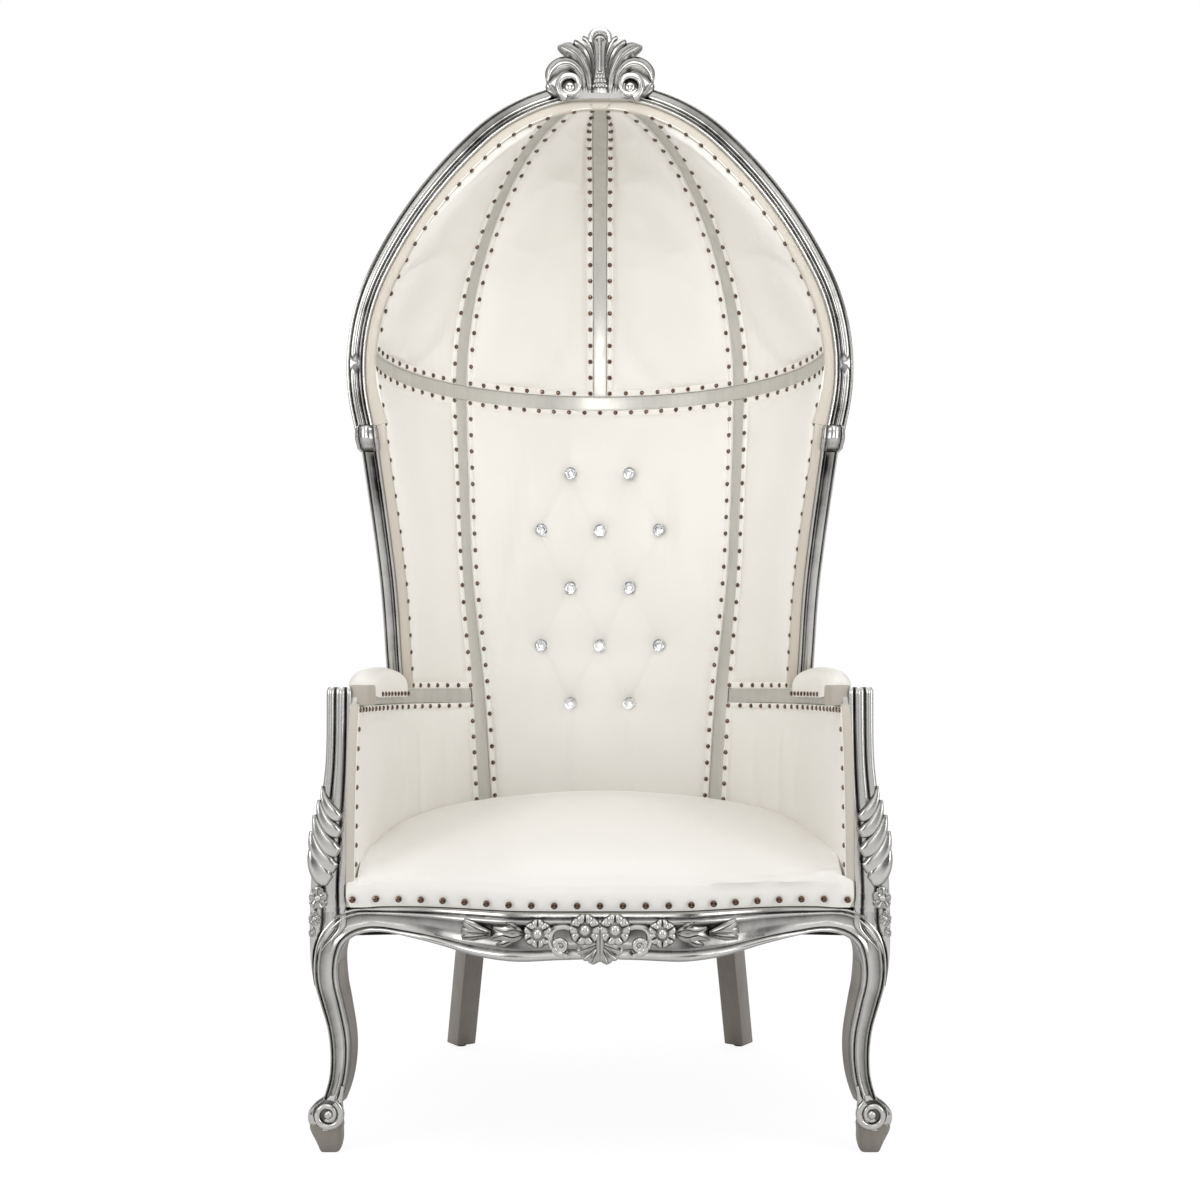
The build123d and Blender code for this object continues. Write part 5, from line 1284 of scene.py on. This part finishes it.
def button_shells(x, z):
    """A cut-glass button: octagonal girdle, sloped facets, flat table, and a foil cup."""
    turn = turn_at_x(np.array([z]), np.array([abs(x)]))
    _, depth = wall(np.array([z]), turn)
    tan_side = (turn_at_x(np.array([z]), np.array([abs(x) + 5.0])), turn_at_x(np.array([z]), np.array([max(abs(x) - 5.0, 0.0)])))
    slope = (wall(np.array([z]), tan_side[0])[1] - wall(np.array([z]), tan_side[1])[1])[0] / (abs(x) + 5.0 - max(abs(x) - 5.0, 0.0))
    facing = turned(np.array([np.sign(x) * slope, -1.0, 0.06]))
    seat = at(x, depth[0] - PROUD - 9.0, z)
    side = turned(np.cross([0, 0, 1.0], facing))
    up = np.cross(facing, side)
    glass, cup = [], []
    angle = np.linspace(0, 2 * np.pi, 16, endpoint=False)
    for reach, lift, shift in ((2.0, -3.5, 0.0), (9.5, 0.6, 0.0), (9.8, 1.8, 0.0), (7.6, 4.4, np.pi / 16), (5.2, 5.8, 0.0)):
        ring = side * np.cos(angle + shift)[:, None] + up * np.sin(angle + shift)[:, None]
        glass.append(seat + ring * reach + facing * lift)
    for reach, lift in ((3.0, -5.0), (10.6, -1.0), (11.4, 0.8), (11.0, 2.2), (10.1, 1.6), (9.9, 0.2), (2.5, -4.2)):
        ring = side * np.cos(angle)[:, None] + up * np.sin(angle)[:, None]
        cup.append(seat + ring * reach + facing * lift)
    return tube(np.array(glass)), tube(np.array(cup))


_glass, _cups = zip(*[button_shells(x, z) for x, z in BUTTONS])
build("crystal_button_stones", list(_glass), CRYSTAL, ("crystal_buttons",), crease=5)
build("crystal_button_cups", list(_cups), FOIL, (), crease=30)

# ---------------------------------------------------------------- kept nodes


def dress(names, finish_used, bevel=0.0):
    """A solid that stays: joined and smoothed by modifiers only, with its own finish."""
    for name in names:
        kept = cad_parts[name]
        kept.data.materials.clear()
        kept.data.materials.append(finish_used)
        kept.data.polygons.foreach_set("material_index", np.zeros(len(kept.data.polygons), np.int32))
        kept.data.polygons.foreach_set("use_smooth", np.ones(len(kept.data.polygons), bool))
        weld = kept.modifiers.new("weld", "WELD")
        weld.merge_threshold = 0.00002
        if bevel:
            edge = kept.modifiers.new("edge", "BEVEL")
            edge.width, edge.segments, edge.limit_method = bevel * 0.001, 2, "ANGLE"
            edge.angle_limit = np.radians(50)
        split = kept.modifiers.new("split", "EDGE_SPLIT")
        split.split_angle = np.radians(38)


def pairs(*stems):
    return [f"{stem}_{side}" for stem in stems for side in ("left", "right")]


dress(["ring_band", "dome_rib_centre"] + pairs("dome_rib", "side_rib", "arm_band"), FLAT_SILVER, 0.8)
dress(pairs("rear_leg"), LEG_PAINT, 1.5)
dress(pairs("rear_glide"), GLIDE)
dress(pairs("side_rail") + ["back_rail"], LEG_PAINT, 1.5)
dress(pairs("arm_rail"), EDGING, 2.0)
dress(pairs("corner_block") + ["seat_deck"], PLYWOOD)
dress(["dust_cover"], DUST_CLOTH)

# ---------------------------------------------------------------- floor, light and camera


def plane(name, size, finish_used, z=0.0):
    mesh = bpy.data.meshes.new(name)
    mesh.from_pydata([(-size, -size, z), (size, -size, z), (size, size, z), (-size, size, z)], [], [(0, 1, 2, 3)])
    mesh.materials.append(finish_used)
    made = bpy.data.objects.new(name, mesh)
    bpy.context.scene.collection.objects.link(made)
    return made


PAPER, _tree, _shader = finish("studio_paper", (0.9, 0.9, 0.9), rough=0.9)
_grain = noise(_tree, 3.0, 2.0)
_tree.links.new(blend(_tree, between(_tree, _grain, 0.3, 0.7, 0, 1), (0.9, 0.9, 0.9), (0.885, 0.885, 0.885)), _shader.inputs["Base Color"])
_glow = node(_tree, "ShaderNodeEmission", {"Color": (1, 1, 1, 1), "Strength": 1.08})
_light_path = node(_tree, "ShaderNodeLightPath")
_seen = node(_tree, "ShaderNodeMath", {0: _light_path.outputs["Is Camera Ray"], 1: _light_path.outputs["Is Transmission Ray"]}, operation="MAXIMUM")
_share = node(_tree, "ShaderNodeMath", {0: _seen.outputs[0], 1: 0.84}, operation="MULTIPLY")
_mix = node(_tree, "ShaderNodeMixShader", {0: _share.outputs[0]})
_tree.links.new(_shader.outputs[0], _mix.inputs[1])
_tree.links.new(_glow.outputs[0], _mix.inputs[2])
_tree.links.new(_mix.outputs[0], _tree.nodes["Material Output"].inputs["Surface"])
plane("studio_floor", 30.0, PAPER)

world = bpy.data.worlds.new("studio")
bpy.context.scene.world = world
world.use_nodes = True
_tree = world.node_tree
_back = _tree.nodes["Background"]
_path = node(_tree, "ShaderNodeLightPath")
_way = node(_tree, "ShaderNodeSeparateXYZ", {0: node(_tree, "ShaderNodeTexCoord").outputs["Generated"]})
_sides = node(_tree, "ShaderNodeMath", {0: _way.outputs[0]}, operation="ABSOLUTE")


def steps(tree, value, levels):
    """Reads a value on a smooth table of (place, grey)."""
    ramp = node(tree, "ShaderNodeValToRGB", {0: value})
    ramp.color_ramp.interpolation = "EASE"
    for k, (place, grey) in enumerate(levels):
        stop = ramp.color_ramp.elements[k] if k < 2 else ramp.color_ramp.elements.new(place)
        stop.position, stop.color = place, (grey, grey, grey, 1)
    return ramp.outputs[0]


# Metal reflects upright panels of light and dark on either side, and a bright ceiling
_panels = steps(_tree, _sides.outputs[0], [(0.0, 0.95), (1.0, 0.2), (0.12, 1.0), (0.26, 0.9), (0.38, 0.2), (0.6, 0.05), (0.74, 0.7), (0.88, 0.85)])
_ceiling = steps(_tree, _way.outputs[2], [(0.35, 0.0), (0.75, 1.0)])
_mirror = node(_tree, "ShaderNodeMath", {0: _panels, 1: _ceiling}, operation="MAXIMUM")
_mirror = node(_tree, "ShaderNodeMath", {0: _mirror.outputs[0], 1: _path.outputs["Is Glossy Ray"]}, operation="MULTIPLY")
_seen = node(_tree, "ShaderNodeMath", {0: _path.outputs["Is Camera Ray"], 1: _path.outputs["Is Transmission Ray"]}, operation="MAXIMUM")
_soft = node(_tree, "ShaderNodeMath", {0: _path.outputs["Is Diffuse Ray"], 1: 0.73}, operation="MULTIPLY")
_light = node(_tree, "ShaderNodeMath", {0: _seen.outputs[0], 1: _soft.outputs[0]}, operation="ADD")
_light = node(_tree, "ShaderNodeMath", {0: _light.outputs[0], 1: _mirror.outputs[0]}, operation="ADD")
_back.inputs["Color"].default_value = (1, 1, 1, 1)
_tree.links.new(_light.outputs[0], _back.inputs["Strength"])


def lamp(name, place, target, size, power, size_y=None, spread=180):
    """Soft rectangular lamp turned to face a point; spread is its beam in degrees."""
    data = bpy.data.lights.new(name, "AREA")
    data.shape = "RECTANGLE"
    data.size, data.size_y, data.energy = size, size_y or size, power
    data.spread = np.radians(spread)
    made = bpy.data.objects.new(name, data)
    bpy.context.scene.collection.objects.link(made)
    made.location = place
    made.rotation_euler = (Vector(target) - Vector(place)).to_track_quat("-Z", "Y").to_euler()


lamp("key", (-2.7, -2.3, 1.8), (0, 0, 1.0), 1.3, 23, 1.9)
lamp("fill", (2.9, -2.1, 1.5), (0, 0, 1.0), 1.3, 22, 1.9)
lamp("hood", (0, -2.7, 1.7), (0, 0.2, 1.55), 1.2, 2.3, spread=42)
lamp("top", (0, -0.8, 3.4), (0, 0, 0.8), 1.6, 13)

camera_data = bpy.data.cameras.new("camera")
camera_data.sensor_width = 36.0
camera_data.lens = 47.04
camera_data.shift_y = 0.0708
camera = bpy.data.objects.new("camera", camera_data)
bpy.context.scene.collection.objects.link(camera)
camera.location = (0.0, -2.555, 0.667)
camera.rotation_euler = (np.pi / 2, 0, 0)
bpy.context.scene.camera = camera
bpy.context.scene.view_settings.view_transform = "Standard"
